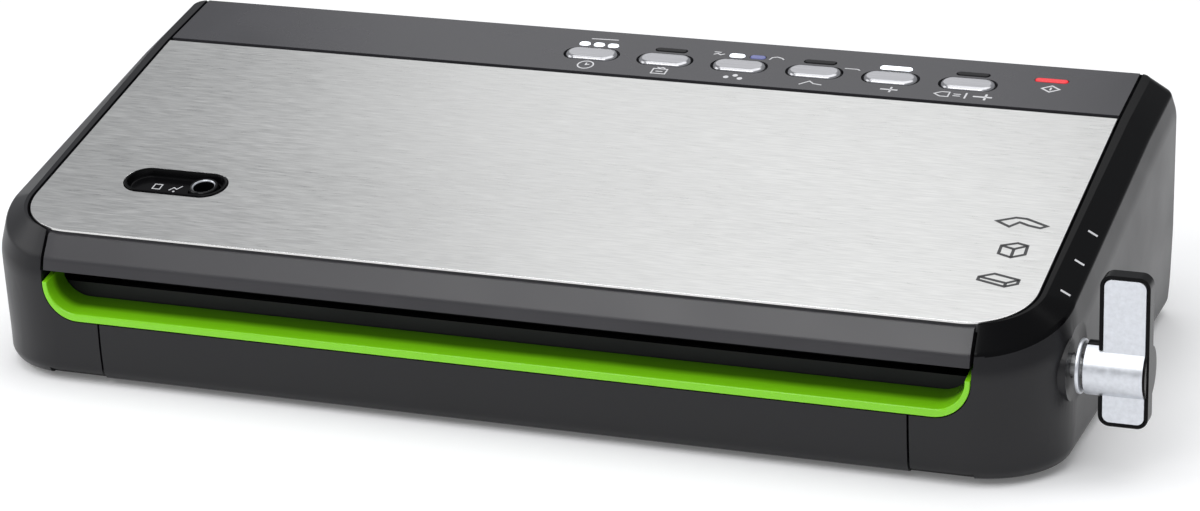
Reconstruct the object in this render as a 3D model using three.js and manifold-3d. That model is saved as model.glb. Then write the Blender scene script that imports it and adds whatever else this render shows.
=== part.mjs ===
// Countertop vacuum sealer: a wedge-shaped appliance with a hinged steel-clad lid, a bag slot along the
// front, a row of push buttons behind the lid and a latch lever on the right end.
// Millimetres, +Z up. Inside `appliance`, x = 0 is the middle of the housing, y = 0 its front face and
// z = 0 the surface it stands on. The exported group moves that to the middle of the whole footprint.
import * as THREE from "three";
import { mergeVertices } from "three/addons/utils/BufferGeometryUtils.js";
import Module from "manifold-3d";

// ---------------------------------------------------------------- driving dimensions
const HALF_WIDTH = 205.1; // housing, without the lever
const DEPTH = 190;
const WALL = 2.4; // moulded wall thickness
const GAP = 0.3; // between touching pieces
const BASE_Z = 2.2; // underside of the housing above the feet

// The roof: a steeper lid and a flatter control panel that meet at KINK_Y.
const FRONT_TOP_Z = 55.9;
const LID_SLOPE = 0.2262;
const PANEL_SLOPE = 0.1685;
const KINK_Y = 145;
const LID_TILT = Math.atan(LID_SLOPE);
const PANEL_TILT = Math.atan(PANEL_SLOPE);
const roofZ = (y) =>
  FRONT_TOP_Z + LID_SLOPE * Math.min(y, KINK_Y) + PANEL_SLOPE * Math.max(y - KINK_Y, 0);

// Corner radii of the housing seen from above.
const FRONT_CORNER = 33;
const BACK_CORNER = 6;

// Lid
const SKIN_HALF = 191.4; // steel skin, half width
const SKIN_FRONT_Y = 8.2;
const SKIN_BACK_Y = 145.3;
const SKIN_CORNER = 22;
const SKIN_GAP = 1.2; // open joint round the steel skin
const SKIN_THICK = 0.8;
const SKIN_STEP = SKIN_THICK + GAP; // how far the lid frame lies under the roof line
const LID_HALF = 175.6; // lid body between the end caps
const LID_RIM_Z = 44; // lower edge of the closed lid
const HINGE_Y = 143.4;
const HINGE_Z = roofZ(HINGE_Y) - 4.2;
const BARREL_R = 3;
const PIN_R = 1.35;
const PIN_HOLE_R = 1.65;
const LINER_Z = 46; // underside of the lid liner

// Accessory port in the lid: a stadium-shaped recess with a tube in its right half.
const PORT = { x: -141.4, y: 45.7, length: 41, width: 16.5, holeX: 11.4, tubeR: 6 };
const PORT_FLOOR = { z: -9.6, thick: 1.2, airHoleR: 0.5, airRingR: 2.2 };

// Base interior
const SEAM_X = 154; // seam between the front wall and the end caps
const CHEEK_X = 176.2; // inner face of the end caps' cheek walls
const CHEEK_THICK = 2.4;
const LEDGE_DROP = 6; // ledge of the end caps under the lid's wings
const DECK_HALF = 175.9;
const DECK_Z = 36;
const SHELF_Z = 25.2; // underside of the bag shelf's lip
const SHELF_HALF = 175.4;
const SHELF_CORNER = 13.5;
const SHELF_BAND = 3;
const SHELF_CURL = 1.9; // thickness of its turned-up ends
const SHELF_END_Z = 39.6;
const SHELF_DEPTH = 13;
const FRONTMOST = -0.1; // front edge of the shelf
const SHELF_RISE = 0.2; // the shelf climbs towards the heater bar
const PAN_TOP_Z = 4.6;
const CHANNEL = { halfX: 146, y0: 38, y1: 60, floorZ: 24, bottomR: 3 };
const ROLL_BAY = { halfX: 150, y0: 78.4, y1: 136.6, floorZ: 14, bottomR: 20 };
const BULKHEAD_Y = 141;

// Control panel
const PANEL_FRONT_Y = 147.7;
const PANEL_EDGE = { thick: 1.2, chamfer: 1.4, lipThick: 2 }; // front edge, cut away for the swinging lid
const PANEL_BACK_Y = 182;
const PANEL_HALF = 191.4;
const PANEL_THICK = 2.5;
const PANEL_RIM = 8.2; // height of its turned-down back edge
const BUTTON_Y = 162.4;
const BUTTON_X0 = -18.9;
const BUTTON_PITCH = 29.92;
const BUTTON_COUNT = 6;
const BUTTON = { length: 21.8, width: 10.4, rise: 1.7 };
const LIGHT_Y = 170.6;
const LIGHT = { length: 12.6, width: 2.4 };
const WARNING_LIGHT_X = 160.7;

// Latch lever and its linkage
const LEVER = { y: 30.2, z: 37.5, shaftR: 4, hubR: 9.4, hubX: 208.9, gripX: 229.4, splitY: -2.5 };
const CROSS = { y: 54, z: 14, shaftR: 3 };
const CRANK = { radius: 9, pinR: 2, x0: 182.2, x1: 185 };
const CRANK_ANGLE = Math.atan2(CROSS.z - LEVER.z, CROSS.y - LEVER.y) + (2 * Math.PI) / 3;
const LINK = { x0: 179.5, x1: 181.6, halfWidth: 3.2, holeR: 2.3 };
const HOOK_X = 168;
const LEVER_REACH = 230.8; // outermost x of the lever

const GLAND = { x: -150, z: 20 }; // where the cord enters the back

// Pump in the rear compartment
const PUMP = { y: 164, z: 45, motorR: 17, crankX: -12, crankHalf: 15 };

// ---------------------------------------------------------------- colours
const paint = (color, roughness, metalness = 0) =>
  new THREE.MeshStandardMaterial({ color, roughness, metalness });
const materials = {
  shell: paint(0x2f2e33, 0.5),
  panel: paint(0x4d4b50, 0.42, 0.2),
  lidTrim: paint(0x57555b, 0.38, 0.25),
  steel: paint(0xc9c9c7, 0.32, 1),
  green: paint(0x79c81c, 0.35),
  silver: paint(0xc4c6ce, 0.3, 0.7),
  gloss: paint(0x0b0b0d, 0.12),
  inner: paint(0x1d1d20, 0.6),
  rubber: paint(0x151517, 0.85),
  foam: paint(0x26262a, 0.95),
  tape: paint(0x8a6a45, 0.55),
  board: paint(0x1e5a36, 0.6),
  copper: paint(0xb06a35, 0.4, 0.8),
  zinc: paint(0xb4b7bb, 0.35, 0.9),
  clear: paint(0xe8edf4, 0.15),
  red: paint(0xd0202a, 0.2),
};

// ---------------------------------------------------------------- solids
const wasm = await Module();
wasm.setup();

function solid(geometry) {
  const bare = (geometry.index ? geometry.toNonIndexed() : geometry.clone());
  bare.deleteAttribute("normal");
  bare.deleteAttribute("uv");
  const merged = mergeVertices(bare, 1e-4);
  return new wasm.Manifold(
    new wasm.Mesh({
      numProp: 3,
      vertProperties: merged.attributes.position.array,
      triVerts: new Uint32Array(merged.index.array),
    }),
  );
}

function geometryOf(manifold) {
  const mesh = manifold.getMesh();
  const geometry = new THREE.BufferGeometry();
  geometry.setAttribute("position", new THREE.BufferAttribute(mesh.vertProperties, 3));
  geometry.setIndex(new THREE.BufferAttribute(mesh.triVerts, 1));
  const flat = geometry.toNonIndexed();
  flat.computeVertexNormals();
  return flat;
}

const join = (...solids) => solids.reduce((a, b) => a.add(b));
const cut = (body, ...tools) => tools.reduce((a, b) => a.subtract(b), body);
const mirrorX = (body) => body.scale([-1, 1, 1]);

function box(x0, x1, y0, y1, z0, z1) {
  const geometry = new THREE.BoxGeometry(x1 - x0, y1 - y0, z1 - z0);
  return solid(geometry.translate((x0 + x1) / 2, (y0 + y1) / 2, (z0 + z1) / 2));
}

function cylinderX(radius, x0, x1, y, z, segments = 24) {
  const geometry = new THREE.CylinderGeometry(radius, radius, x1 - x0, segments);
  return solid(geometry.rotateZ(-Math.PI / 2).translate((x0 + x1) / 2, y, z));
}

function cylinderZ(radius, z0, z1, x, y, segments = 24) {
  const geometry = new THREE.CylinderGeometry(radius, radius, z1 - z0, segments);
  return solid(geometry.rotateX(Math.PI / 2).translate(x, y, (z0 + z1) / 2));
}

function cylinderY(radius, y0, y1, x, z, segments = 24) {
  const geometry = new THREE.CylinderGeometry(radius, radius, y1 - y0, segments);
  return solid(geometry.translate(x, (y0 + y1) / 2, z));
}

const extrude = (shape, depth, curveSegments, bevel = {}) =>
  new THREE.ExtrudeGeometry(shape, {
    depth,
    curveSegments,
    steps: 1,
    bevelEnabled: false,
    ...bevel,
  });

// A shape drawn in (y, z), extruded along x.
function extrudeX(shape, x0, x1, curveSegments = 6) {
  const turn = new THREE.Matrix4().set(0, 0, 1, x0, 1, 0, 0, 0, 0, 1, 0, 0, 0, 0, 0, 1);
  return solid(extrude(shape, x1 - x0, curveSegments).applyMatrix4(turn));
}

// A shape drawn in (x, z), extruded along y.
function extrudeY(shape, y0, y1, curveSegments = 6, bevel = {}) {
  const turn = new THREE.Matrix4().set(1, 0, 0, 0, 0, 0, -1, y1, 0, 1, 0, 0, 0, 0, 0, 1);
  return solid(extrude(shape, y1 - y0, curveSegments, bevel).applyMatrix4(turn));
}

// A shape drawn in (x, y), extruded along z.
function extrudeZ(shape, z0, z1, curveSegments = 6, bevel = {}) {
  return solid(extrude(shape, z1 - z0, curveSegments, bevel).translate(0, 0, z0));
}

const polygon = (points) => new THREE.Shape(points.map(([a, b]) => new THREE.Vector2(a, b)));

function roundedRect(x0, x1, y0, y1, r) {
  const shape = new THREE.Shape();
  shape.moveTo(x0 + r, y0);
  shape.lineTo(x1 - r, y0);
  shape.absarc(x1 - r, y0 + r, r, -Math.PI / 2, 0);
  shape.lineTo(x1, y1 - r);
  shape.absarc(x1 - r, y1 - r, r, 0, Math.PI / 2);
  shape.lineTo(x0 + r, y1);
  shape.absarc(x0 + r, y1 - r, r, Math.PI / 2, Math.PI);
  shape.lineTo(x0, y0 + r);
  shape.absarc(x0 + r, y0 + r, r, Math.PI, 1.5 * Math.PI);
  return shape;
}

const stadium = (cx, cy, length, width) =>
  roundedRect(cx - length / 2, cx + length / 2, cy - width / 2, cy + width / 2, width / 2 - 0.01);

function lathe(profile, segments = 24) {
  return new THREE.LatheGeometry(profile.map(([r, h]) => new THREE.Vector2(r, h)), segments);
}

// Everything between two offsets below the roof line, between y0 and y1.
function roofSlab(topDrop, bottomDrop, y0, y1, halfX) {
  const stops = [y0, ...(y0 < KINK_Y && y1 > KINK_Y ? [KINK_Y] : []), y1];
  const top = stops.map((y) => [y, roofZ(y) - topDrop]);
  const bottom = stops.map((y) => [y, roofZ(y) - bottomDrop]).reverse();
  return extrudeX(polygon([...bottom.reverse(), ...top.reverse()]), -halfX, halfX);
}

// ---------------------------------------------------------------- housing envelope
// One closed outline of the housing seen from above, as points at the heights that zAt gives.
// The flare is how much wider the outline is at the back than at the front, on each side.
function outline({ side, front, back, frontR, backR, zAt, flare }) {
  const x = HALF_WIDTH - side;
  const y0 = front;
  const y1 = DEPTH - back;
  const arc = (cx, cy, r, start, steps) =>
    Array.from({ length: steps + 1 }, (_, i) => {
      const angle = start + ((Math.PI / 2) * i) / steps;
      return [cx + r * Math.cos(angle), cy + r * Math.sin(angle)];
    });
  const flat = [
    ...arc(x - frontR, y0 + frontR, frontR, -Math.PI / 2, 8),
    [x, KINK_Y],
    ...arc(x - backR, y1 - backR, backR, 0, 4),
    ...arc(-x + backR, y1 - backR, backR, Math.PI / 2, 4),
    [-x, KINK_Y],
    ...arc(-x + frontR, y0 + frontR, frontR, Math.PI, 8),
  ];
  const widened = (px, py) => px + Math.sign(px) * flare * (py / DEPTH);
  return flat.map(([px, py]) => new THREE.Vector3(widened(px, py), py, zAt(py)));
}

// A closed body through equal-length rings, the first at the bottom.
function loft(rings) {
  const count = rings[0].length;
  const position = [];
  const push = (...points) => points.forEach((p) => position.push(p.x, p.y, p.z));
  for (let k = 0; k + 1 < rings.length; k++) {
    for (let j = 0; j < count; j++) {
      const next = (j + 1) % count;
      push(rings[k][j], rings[k][next], rings[k + 1][next]);
      push(rings[k][j], rings[k + 1][next], rings[k + 1][j]);
    }
  }
  const lid = (ring, up) => {
    const contour = ring.map((p) => new THREE.Vector2(p.x, p.y));
    for (const [a, b, c] of THREE.ShapeUtils.triangulateShape(contour, [])) {
      const turn = contour[b].clone().sub(contour[a]).cross(contour[c].clone().sub(contour[a]));
      const [p, q, r] = turn > 0 === up ? [a, b, c] : [a, c, b];
      push(ring[p], ring[q], ring[r]);
    }
  };
  lid(rings[0], false);
  lid(rings[rings.length - 1], true);
  const geometry = new THREE.BufferGeometry();
  geometry.setAttribute("position", new THREE.Float32BufferAttribute(position, 3));
  return solid(geometry);
}

// How far the crease round the top of the walls lies below the roof line: deepest along the front.
const creaseDrop = (y) => 8.2 - 3.6 * Math.min(y / 35, 1) + 0.019 * Math.max(y - 35, 0);

// Outer section of the housing: how far each level is set in at the sides, front and back.
function level(side, front, back, frontR, backR, zAt, flare = 0) {
  return { side, front, back, frontR, backR, zAt, flare };
}
const LEVELS = [
  level(5.1, 5.5, 5.5, 27, BACK_CORNER, () => BASE_Z),
  level(3, 3.2, 2.9, 30, BACK_CORNER, () => BASE_Z + 0.9),
  level(1.5, 1.6, 1.3, 31, BACK_CORNER, () => 6),
  level(1, 0.7, 0.5, FRONT_CORNER, BACK_CORNER, () => 14),
  level(0.4, 0.1, 0, FRONT_CORNER, BACK_CORNER, () => 34),
  level(0, 0.1, 0.6, FRONT_CORNER, BACK_CORNER, (y) => roofZ(y) - 15),
  level(1.9, 1.7, 2, FRONT_CORNER, BACK_CORNER, (y) => roofZ(y) - creaseDrop(y)),
  level(11.3, 8, 8, 22, 5, roofZ, 2.6),
  level(11.3, 8, 8, 22, 5, (y) => roofZ(y) + 10, 2.6),
];

// The housing's volume, set in everywhere by `inset`, with its roof lowered by the same amount.
function envelope(inset) {
  const rings = LEVELS.map((l) =>
    outline({
      ...l,
      side: l.side + inset,
      front: l.front + inset,
      back: l.back + inset,
      frontR: l.frontR - inset,
      backR: Math.max(l.backR - inset, 2),
    }),
  );
  const below = polygon([
    [-10, -10],
    [DEPTH + 10, -10],
    [DEPTH + 10, roofZ(DEPTH + 10) - inset],
    [KINK_Y, roofZ(KINK_Y) - inset],
    [-10, roofZ(-10) - inset],
  ]);
  return loft(rings).intersect(extrudeX(below, -HALF_WIDTH - 10, HALF_WIDTH + 10));
}
const outer = envelope(0);
const inner = envelope(WALL);

// The opening for the steel skin and the control panel, seen from above.
function skinShape(grow, backY) {
  const half = SKIN_HALF + grow;
  const front = SKIN_FRONT_Y - grow;
  const r = SKIN_CORNER + grow;
  const shape = new THREE.Shape();
  shape.moveTo(-half + r, front);
  shape.lineTo(half - r, front);
  shape.absarc(half - r, front + r, r, -Math.PI / 2, 0);
  shape.lineTo(half, backY);
  shape.lineTo(-half, backY);
  shape.lineTo(-half, front + r);
  shape.absarc(-half + r, front + r, r, Math.PI, 1.5 * Math.PI);
  return shape;
}

// The bag slot's U outline seen from the front, grown sideways and downwards and open at the top.
function slotShape(growX, growZ, topZ) {
  const half = SHELF_HALF + growX;
  const bottom = SHELF_Z - growZ;
  const r = SHELF_CORNER + (growX + growZ) / 2;
  const shape = new THREE.Shape();
  shape.moveTo(-half, topZ);
  shape.lineTo(-half, bottom + r);
  shape.absarc(-half + r, bottom + r, r, Math.PI, 1.5 * Math.PI);
  shape.absarc(half - r, bottom + r, r, 1.5 * Math.PI, 2 * Math.PI);
  shape.lineTo(half, topZ);
  return shape;
}

// ---------------------------------------------------------------- housing pieces
function panFloor(grow, z0, z1) {
  const half = HALF_WIDTH - 7 + grow;
  return extrudeZ(roundedRect(-half, half, 6.5 - grow, DEPTH - 6.5 + grow, 25 + grow), z0, z1, 4);
}

function basePan() {
  const floor = panFloor(0, BASE_Z, PAN_TOP_Z);
  const frontWall = cut(
    outer.intersect(box(-SEAM_X + GAP, SEAM_X - GAP, -5, 9, 0, SHELF_Z - GAP)),
    inner.intersect(box(-SEAM_X, SEAM_X, -5, 9, PAN_TOP_Z, 60)),
  );
  const ribs = [-100, 0, 100].map((x) => box(x - 1, x + 1, 2, 9, BASE_Z + 1, SHELF_Z - 3));
  return join(floor, frontWall, ...ribs);
}

// The right end cap; the left one is its mirror image without the lever's opening.
function endCap(withLever) {
  const reach = HALF_WIDTH + 10;
  const cheekOuter = CHEEK_X + CHEEK_THICK;
  const cap = outer.intersect(box(SEAM_X, reach, -5, DEPTH + 5, 0, 120));
  const under = roofSlab(LEDGE_DROP + 2, 120, -5, DEPTH + 5, reach);
  const chamber = inner.intersect(box(cheekOuter, reach, -5, DEPTH + 5, 3, 120)).intersect(under);
  const middle = join(
    box(SEAM_X - 1, CHEEK_X, WALL, DEPTH + 5, -5, 120),
    box(SEAM_X - 1, CHEEK_X, -5, DEPTH + 5, LID_RIM_Z - GAP, 120),
  );
  const lidWell = extrudeZ(skinShape(SKIN_GAP, PANEL_BACK_Y + 0.5), 0, 120, 4).intersect(
    roofSlab(-30, LEDGE_DROP, -5, DEPTH + 5, reach),
  );
  const slot = extrudeY(slotShape(GAP, GAP, 70), -5, WALL + SHELF_DEPTH);
  const floor = panFloor(GAP, -1, PAN_TOP_Z + GAP);
  const crossHole = cylinderX(CROSS.shaftR + 0.5, CHEEK_X - 1, cheekOuter + 1, CROSS.y, CROSS.z);
  let body = cut(cap, chamber, middle, lidWell, slot, floor, crossHole);
  const ear = cut(
    join(
      cylinderX(BARREL_R, CHEEK_X, CHEEK_X + 3.4, HINGE_Y, HINGE_Z, 16),
      box(CHEEK_X, CHEEK_X + 3.4, HINGE_Y - 3, HINGE_Y + 3, HINGE_Z - 8, HINGE_Z),
    ),
    cylinderX(PIN_HOLE_R, CHEEK_X - 1, CHEEK_X + 5, HINGE_Y, HINGE_Z, 16),
  );
  body = body.add(ear);
  if (withLever) {
    const boss = cylinderX(12.5, 195, HALF_WIDTH + 0.6, LEVER.y, LEVER.z, 32);
    const hole = cylinderX(LEVER.shaftR + 0.4, 190, reach, LEVER.y, LEVER.z);
    body = cut(body.add(boss), hole);
  }
  return body;
}

function rearCover() {
  const limit = CHEEK_X - GAP;
  const shell = cut(
    outer
      .intersect(box(-limit, limit, DEPTH - 12, DEPTH + 5, 0, 120))
      .intersect(roofSlab(PANEL_RIM + GAP, 120, 0, DEPTH + 5, HALF_WIDTH)),
    inner.intersect(box(-limit - 1, limit + 1, 0, DEPTH + 5, 3, 120)),
    panFloor(GAP, -1, PAN_TOP_Z + GAP),
  );
  const vents = [];
  for (let i = 0; i < 9; i++) {
    const x = 40 + i * 12;
    vents.push(box(x, x + 5, DEPTH - 10, DEPTH + 5, 28, 60));
  }
  return cut(shell, ...vents, cylinderY(6.2, DEPTH - 10, DEPTH + 5, GLAND.x, GLAND.z));
}

// A rubber sleeve with a groove for the cover's edge, where the mains cord would come in.
function cordGland() {
  const boreR = 3.6;
  const profile = [
    [boreR, -8],
    [7.6, -8],
    [7.6, -3.2],
    [5.9, -3],
    [5.9, 0.4],
    [8.4, 0.6],
    [8.4, 3.6],
    [5.2, 12],
    [boreR, 12],
    [boreR, -8],
  ];
  return solid(lathe(profile, 20).translate(GLAND.x, DEPTH - 0.4, GLAND.z));
}

// The wedge missing from under the panel's front edge, where the lid's back edge swings past.
function panelUndercut() {
  const low = roofZ(PANEL_FRONT_Y) - PANEL_THICK - 1;
  const wedge = polygon([
    [PANEL_FRONT_Y - 1, low],
    [PANEL_FRONT_Y + PANEL_EDGE.chamfer, low],
    [PANEL_FRONT_Y + PANEL_EDGE.chamfer, roofZ(PANEL_FRONT_Y) - PANEL_THICK],
    [PANEL_FRONT_Y, roofZ(PANEL_FRONT_Y) - PANEL_EDGE.thick],
    [PANEL_FRONT_Y - 1, roofZ(PANEL_FRONT_Y) - PANEL_EDGE.thick],
  ]);
  return extrudeX(wedge, -HALF_WIDTH, HALF_WIDTH);
}

function controlPanel() {
  const half = CHEEK_X - GAP;
  const slab = cut(
    roofSlab(0, PANEL_THICK, PANEL_FRONT_Y, PANEL_BACK_Y, PANEL_HALF),
    panelUndercut(),
  );
  const rim = roofSlab(0, PANEL_RIM, PANEL_BACK_Y - 6, DEPTH + 5, half);
  const hollow = inner.intersect(box(-half + WALL, half - WALL, 0, DEPTH, 0, 90));
  const lipY = PANEL_FRONT_Y + PANEL_EDGE.chamfer;
  const frontLip = roofSlab(PANEL_THICK - 0.5, 9, lipY, lipY + PANEL_EDGE.lipThick, half - 2);
  return join(slab, frontLip, cut(rim, hollow)).intersect(outer);
}

// ---------------------------------------------------------------- deck and sealing parts
function uProfile(y0, y1, floorZ, topZ, r) {
  const shape = new THREE.Shape();
  shape.moveTo(y0, topZ);
  shape.lineTo(y0, floorZ + r);
  shape.absarc(y0 + r, floorZ + r, r, Math.PI, 1.5 * Math.PI);
  shape.absarc(y1 - r, floorZ + r, r, 1.5 * Math.PI, 2 * Math.PI);
  shape.lineTo(y1, topZ);
  return shape;
}

// A tub across the deck: its outer body when grown by the wall thickness, its hollow when not.
function tub({ halfX, y0, y1, floorZ, bottomR }, grow) {
  const topZ = grow ? DECK_Z : DECK_Z + 5;
  const profile = uProfile(y0 - grow, y1 + grow, floorZ - grow, topZ, bottomR);
  return extrudeX(profile, -halfX - grow, halfX + grow);
}

function deck() {
  const skirtZ = 12; // lower edge of the front skirt and of the bulkhead
  const frontY = 13.4;
  const plate = box(-DECK_HALF, DECK_HALF, frontY, BULKHEAD_Y + WALL, DECK_Z - WALL, DECK_Z);
  const frontSkirt = box(-DECK_HALF, DECK_HALF, frontY, frontY + WALL, skirtZ, DECK_Z);
  const bulkhead = box(-DECK_HALF, DECK_HALF, BULKHEAD_Y, BULKHEAD_Y + WALL, skirtZ, HINGE_Z - 4);
  const tubs = [CHANNEL, ROLL_BAY];
  const hookSlots = [-HOOK_X, HOOK_X].map((x) => box(x - 6, x + 6, 39, 88, 20, 60));
  const hoseHole = cylinderZ(3.2, 15, 30, -100, 44, 16);
  return cut(
    join(plate, frontSkirt, bulkhead, ...tubs.map((t) => tub(t, WALL))),
    ...tubs.map((t) => tub(t, 0)),
    ...hookSlots,
    hoseHole,
  );
}

// The coloured shelf at the mouth of the bag slot, its ends curled up beside the lid.
function bagShelf() {
  const band = slotShape(0, 0, SHELF_END_Z);
  const inside = slotShape(-SHELF_CURL, -SHELF_BAND, SHELF_END_Z + 5);
  const flat = cut(extrudeY(band, 0, SHELF_DEPTH, 8), extrudeY(inside, -1, SHELF_DEPTH + 1, 8));
  const climb = new THREE.Matrix4().set(1, 0, 0, 0, 0, 1, 0, 0, 0, SHELF_RISE, 1, 0, 0, 0, 0, 1);
  return flat.transform(climb.elements).translate([0, FRONTMOST, 0]);
}

const heaterBar = () =>
  cut(
    box(-152, 152, 18, 28, DECK_Z + GAP, DECK_Z + 2.4),
    box(-150, 150, 20.2, 25.8, DECK_Z + 1.5, DECK_Z + 5),
  );
const heaterStrip = () => box(-149.6, 149.6, 20.6, 25.4, DECK_Z + 1.8, DECK_Z + 2.6);

// A closed foam ring around the vacuum channel.
function gasket(z0, z1) {
  const ring = roundedRect(-157, 157, 31, 67, 12);
  ring.holes.push(roundedRect(-152, 152, 36, 62, 8));
  return extrudeZ(ring, z0, z1, 5);
}

function dripTray() {
  const c = CHANNEL;
  const body = extrudeZ(roundedRect(-c.halfX + 0.5, c.halfX - 0.5, c.y0 + 0.5, c.y1 - 0.5, 4), 27.3, 34.5, 3);
  const hollow = extrudeZ(roundedRect(-c.halfX + 1.9, c.halfX - 1.9, c.y0 + 1.9, c.y1 - 1.9, 3), 28.6, 40, 3);
  return cut(body, hollow);
}

// ---------------------------------------------------------------- bag cutter
const cutterRail = () =>
  cut(
    box(-152, 152, 69, 74.5, DECK_Z + GAP, DECK_Z + 3),
    box(-148, 148, 71.1, 72.4, DECK_Z + 1.2, DECK_Z + 5),
  );

function cutterCarriage() {
  const shape = roundedRect(126, 144, 68.6, 74.9, 2);
  return cut(extrudeZ(shape, DECK_Z + 3.3, DECK_Z + 8.6, 3), box(129, 141, 71.2, 72.3, 30, DECK_Z + 5.2));
}

const cutterBlade = () =>
  extrudeY(
    polygon([[130.2, DECK_Z + 4.9], [139.8, DECK_Z + 4.9], [137, DECK_Z + 1.6], [133, DECK_Z + 1.6]]),
    71.5,
    72,
  );

// ---------------------------------------------------------------- lid
function lidSkin() {
  return extrudeZ(skinShape(0, SKIN_BACK_Y), 0, 120, 8)
    .intersect(roofSlab(0, SKIN_THICK, 0, SKIN_BACK_Y + 5, 200))
    .subtract(lidOval(20, 0.4));
}

// The stadium opening for the accessory port, square to the lid's slope.
function lidOval(height, grow) {
  const shape = stadium(0, 0, PORT.length + 2 * grow, PORT.width + 2 * grow);
  return onLid(extrudeZ(shape, -height, height, 4));
}

// From the port's own frame, square to the lid, to the housing's.
const onLid = (body) =>
  body.rotate([(LID_TILT * 180) / Math.PI, 0, 0]).translate([PORT.x, PORT.y, roofZ(PORT.y)]);

function lidFrame() {
  const front = outer.intersect(box(-LID_HALF, LID_HALF, -5, HINGE_Y - 3, LID_RIM_Z, 120));
  const wings = extrudeZ(skinShape(-0.3, HINGE_Y - 3), 0, 120, 6).intersect(
    roofSlab(0, 4, 0, HINGE_Y, 200),
  );
  const barrel = cylinderX(BARREL_R, -LID_HALF, LID_HALF, HINGE_Y, HINGE_Z, 16);
  const web = extrudeX(
    polygon([
      [HINGE_Y - 6, HINGE_Z - 1],
      [HINGE_Y, HINGE_Z - 1],
      [HINGE_Y, HINGE_Z + 2.9],
      [HINGE_Y - 6, roofZ(HINGE_Y - 6) - SKIN_STEP],
    ]),
    -LID_HALF,
    LID_HALF,
  );
  const skinBed = extrudeZ(skinShape(0.4, HINGE_Y + 10), 0, 120, 6).intersect(
    roofSlab(-30, SKIN_STEP, -5, HINGE_Y + 10, 200),
  );
  const hollow = inner
    .intersect(box(-LID_HALF + WALL, LID_HALF - WALL, 0, HINGE_Y - 3 - WALL, 0, 120))
    .intersect(roofSlab(SKIN_STEP + WALL, 90, -5, HINGE_Y, 200));
  const earNotches = [-1, 1].map((s) =>
    box(s * 178 - 2.3, s * 178 + 2.3, HINGE_Y - 8, HINGE_Y + 8, 60, 100),
  );
  const pinHoles = [-1, 1].map((s) =>
    cylinderX(PIN_HOLE_R, s > 0 ? 163 : -178, s > 0 ? 178 : -163, HINGE_Y, HINGE_Z, 16),
  );
  return cut(
    join(front, wings, barrel, web),
    skinBed,
    hollow,
    ...earNotches,
    ...pinHoles,
    lidOval(20, 0.4),
  );
}

function lidLiner() {
  const rear = (y, drop) => [y, roofZ(y) - drop];
  const section = polygon([
    [4.6, LINER_Z],
    [70, LINER_Z],
    rear(80, 9.5),
    rear(136.5, 9.5),
    rear(136.5, 7.4),
    rear(79, 7.4),
    [69, LINER_Z + 2.2],
    [4.6, LINER_Z + 2.2],
  ]);
  const half = LID_HALF - WALL - GAP;
  const portHole = cylinderZ(PORT.tubeR + 0.4, -40, 5, PORT.holeX, 0, 20);
  return cut(extrudeX(section, -half, half), onLid(portHole));
}

const sealPad = () =>
  join(
    box(-151, 151, 20.4, 25.6, DECK_Z + 3, LINER_Z - GAP),
    box(-151, 151, 18.5, 27.5, LINER_Z - 3.2, LINER_Z - GAP),
  );

// Catches hang from the lid liner, and the hooks' claws reach over their noses.
function lidCatch(side) {
  const shape = polygon([
    [43, LINER_Z - GAP],
    [43, 35],
    [49.4, 35],
    [49.4, 37],
    [46.6, 38.6],
    [46.6, LINER_Z - GAP],
  ]);
  return extrudeX(shape, side * HOOK_X - 4, side * HOOK_X + 4);
}

const hingePin = (side) =>
  cylinderX(PIN_R, side > 0 ? 164 : -179.4, side > 0 ? 179.4 : -164, HINGE_Y, HINGE_Z, 16);

// Bezel and port tube share a frame on the lid's slope: x to the right, y up the slope.
function portBezel() {
  const cup = extrudeZ(stadium(0, 0, PORT.length, PORT.width), -4.4, 0.5, 6);
  const recess = extrudeZ(stadium(0, 0, PORT.length - 2.4, PORT.width - 2.4), -2.6, 5, 6);
  const hole = cylinderZ(PORT.tubeR + GAP, -10, 5, PORT.holeX, 0, 24);
  return cut(cup, recess, hole);
}

// The tube has a floor partway down, pierced by small air holes that lead on to the lid's underside.
function accessoryPort() {
  const bottom = (roofZ(PORT.y) - LINER_Z) / Math.cos(LID_TILT) - 1;
  const outerR = PORT.tubeR - 0.4;
  const boreR = 3.9;
  const profile = [
    [boreR, -bottom],
    [outerR, -bottom],
    [outerR, -0.6],
    [5, -0.2],
    [boreR, -0.6],
    [boreR, -bottom],
  ];
  const tube = solid(lathe(profile, 20).rotateX(Math.PI / 2));
  const floorDisc = cylinderZ(boreR + 0.5, PORT_FLOOR.z - PORT_FLOOR.thick, PORT_FLOOR.z, 0, 0, 20);
  const airHoles = [0, 1, 2, 3].map((i) => {
    const angle = (i * Math.PI) / 2;
    const [x, y] = [PORT_FLOOR.airRingR * Math.cos(angle), PORT_FLOOR.airRingR * Math.sin(angle)];
    return cylinderZ(PORT_FLOOR.airHoleR, -bottom, 0, x, y, 8);
  });
  return cut(tube.add(floorDisc), ...airHoles).translate([PORT.holeX, 0, 0]);
}

// ---------------------------------------------------------------- lever and latch linkage
// The lever is drawn about its own axis: x outwards, y back, z up the long arm.
function leverGrip(grow = 0) {
  const { hubR, hubX, gripX, splitY } = LEVER;
  const face = roundedRect(215 - grow, gripX + grow, -17.5 - grow, 34 + grow, 2.6);
  const plate = extrudeY(face, -5.2 - grow, -3.4 + grow, 3);
  const hub = cylinderX(hubR + grow, hubX - grow, gripX + grow, 0, 0, 28);
  return join(plate, cut(hub, box(hubX - 5, gripX + 5, splitY + grow, 20, -20, 20)));
}

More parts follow.
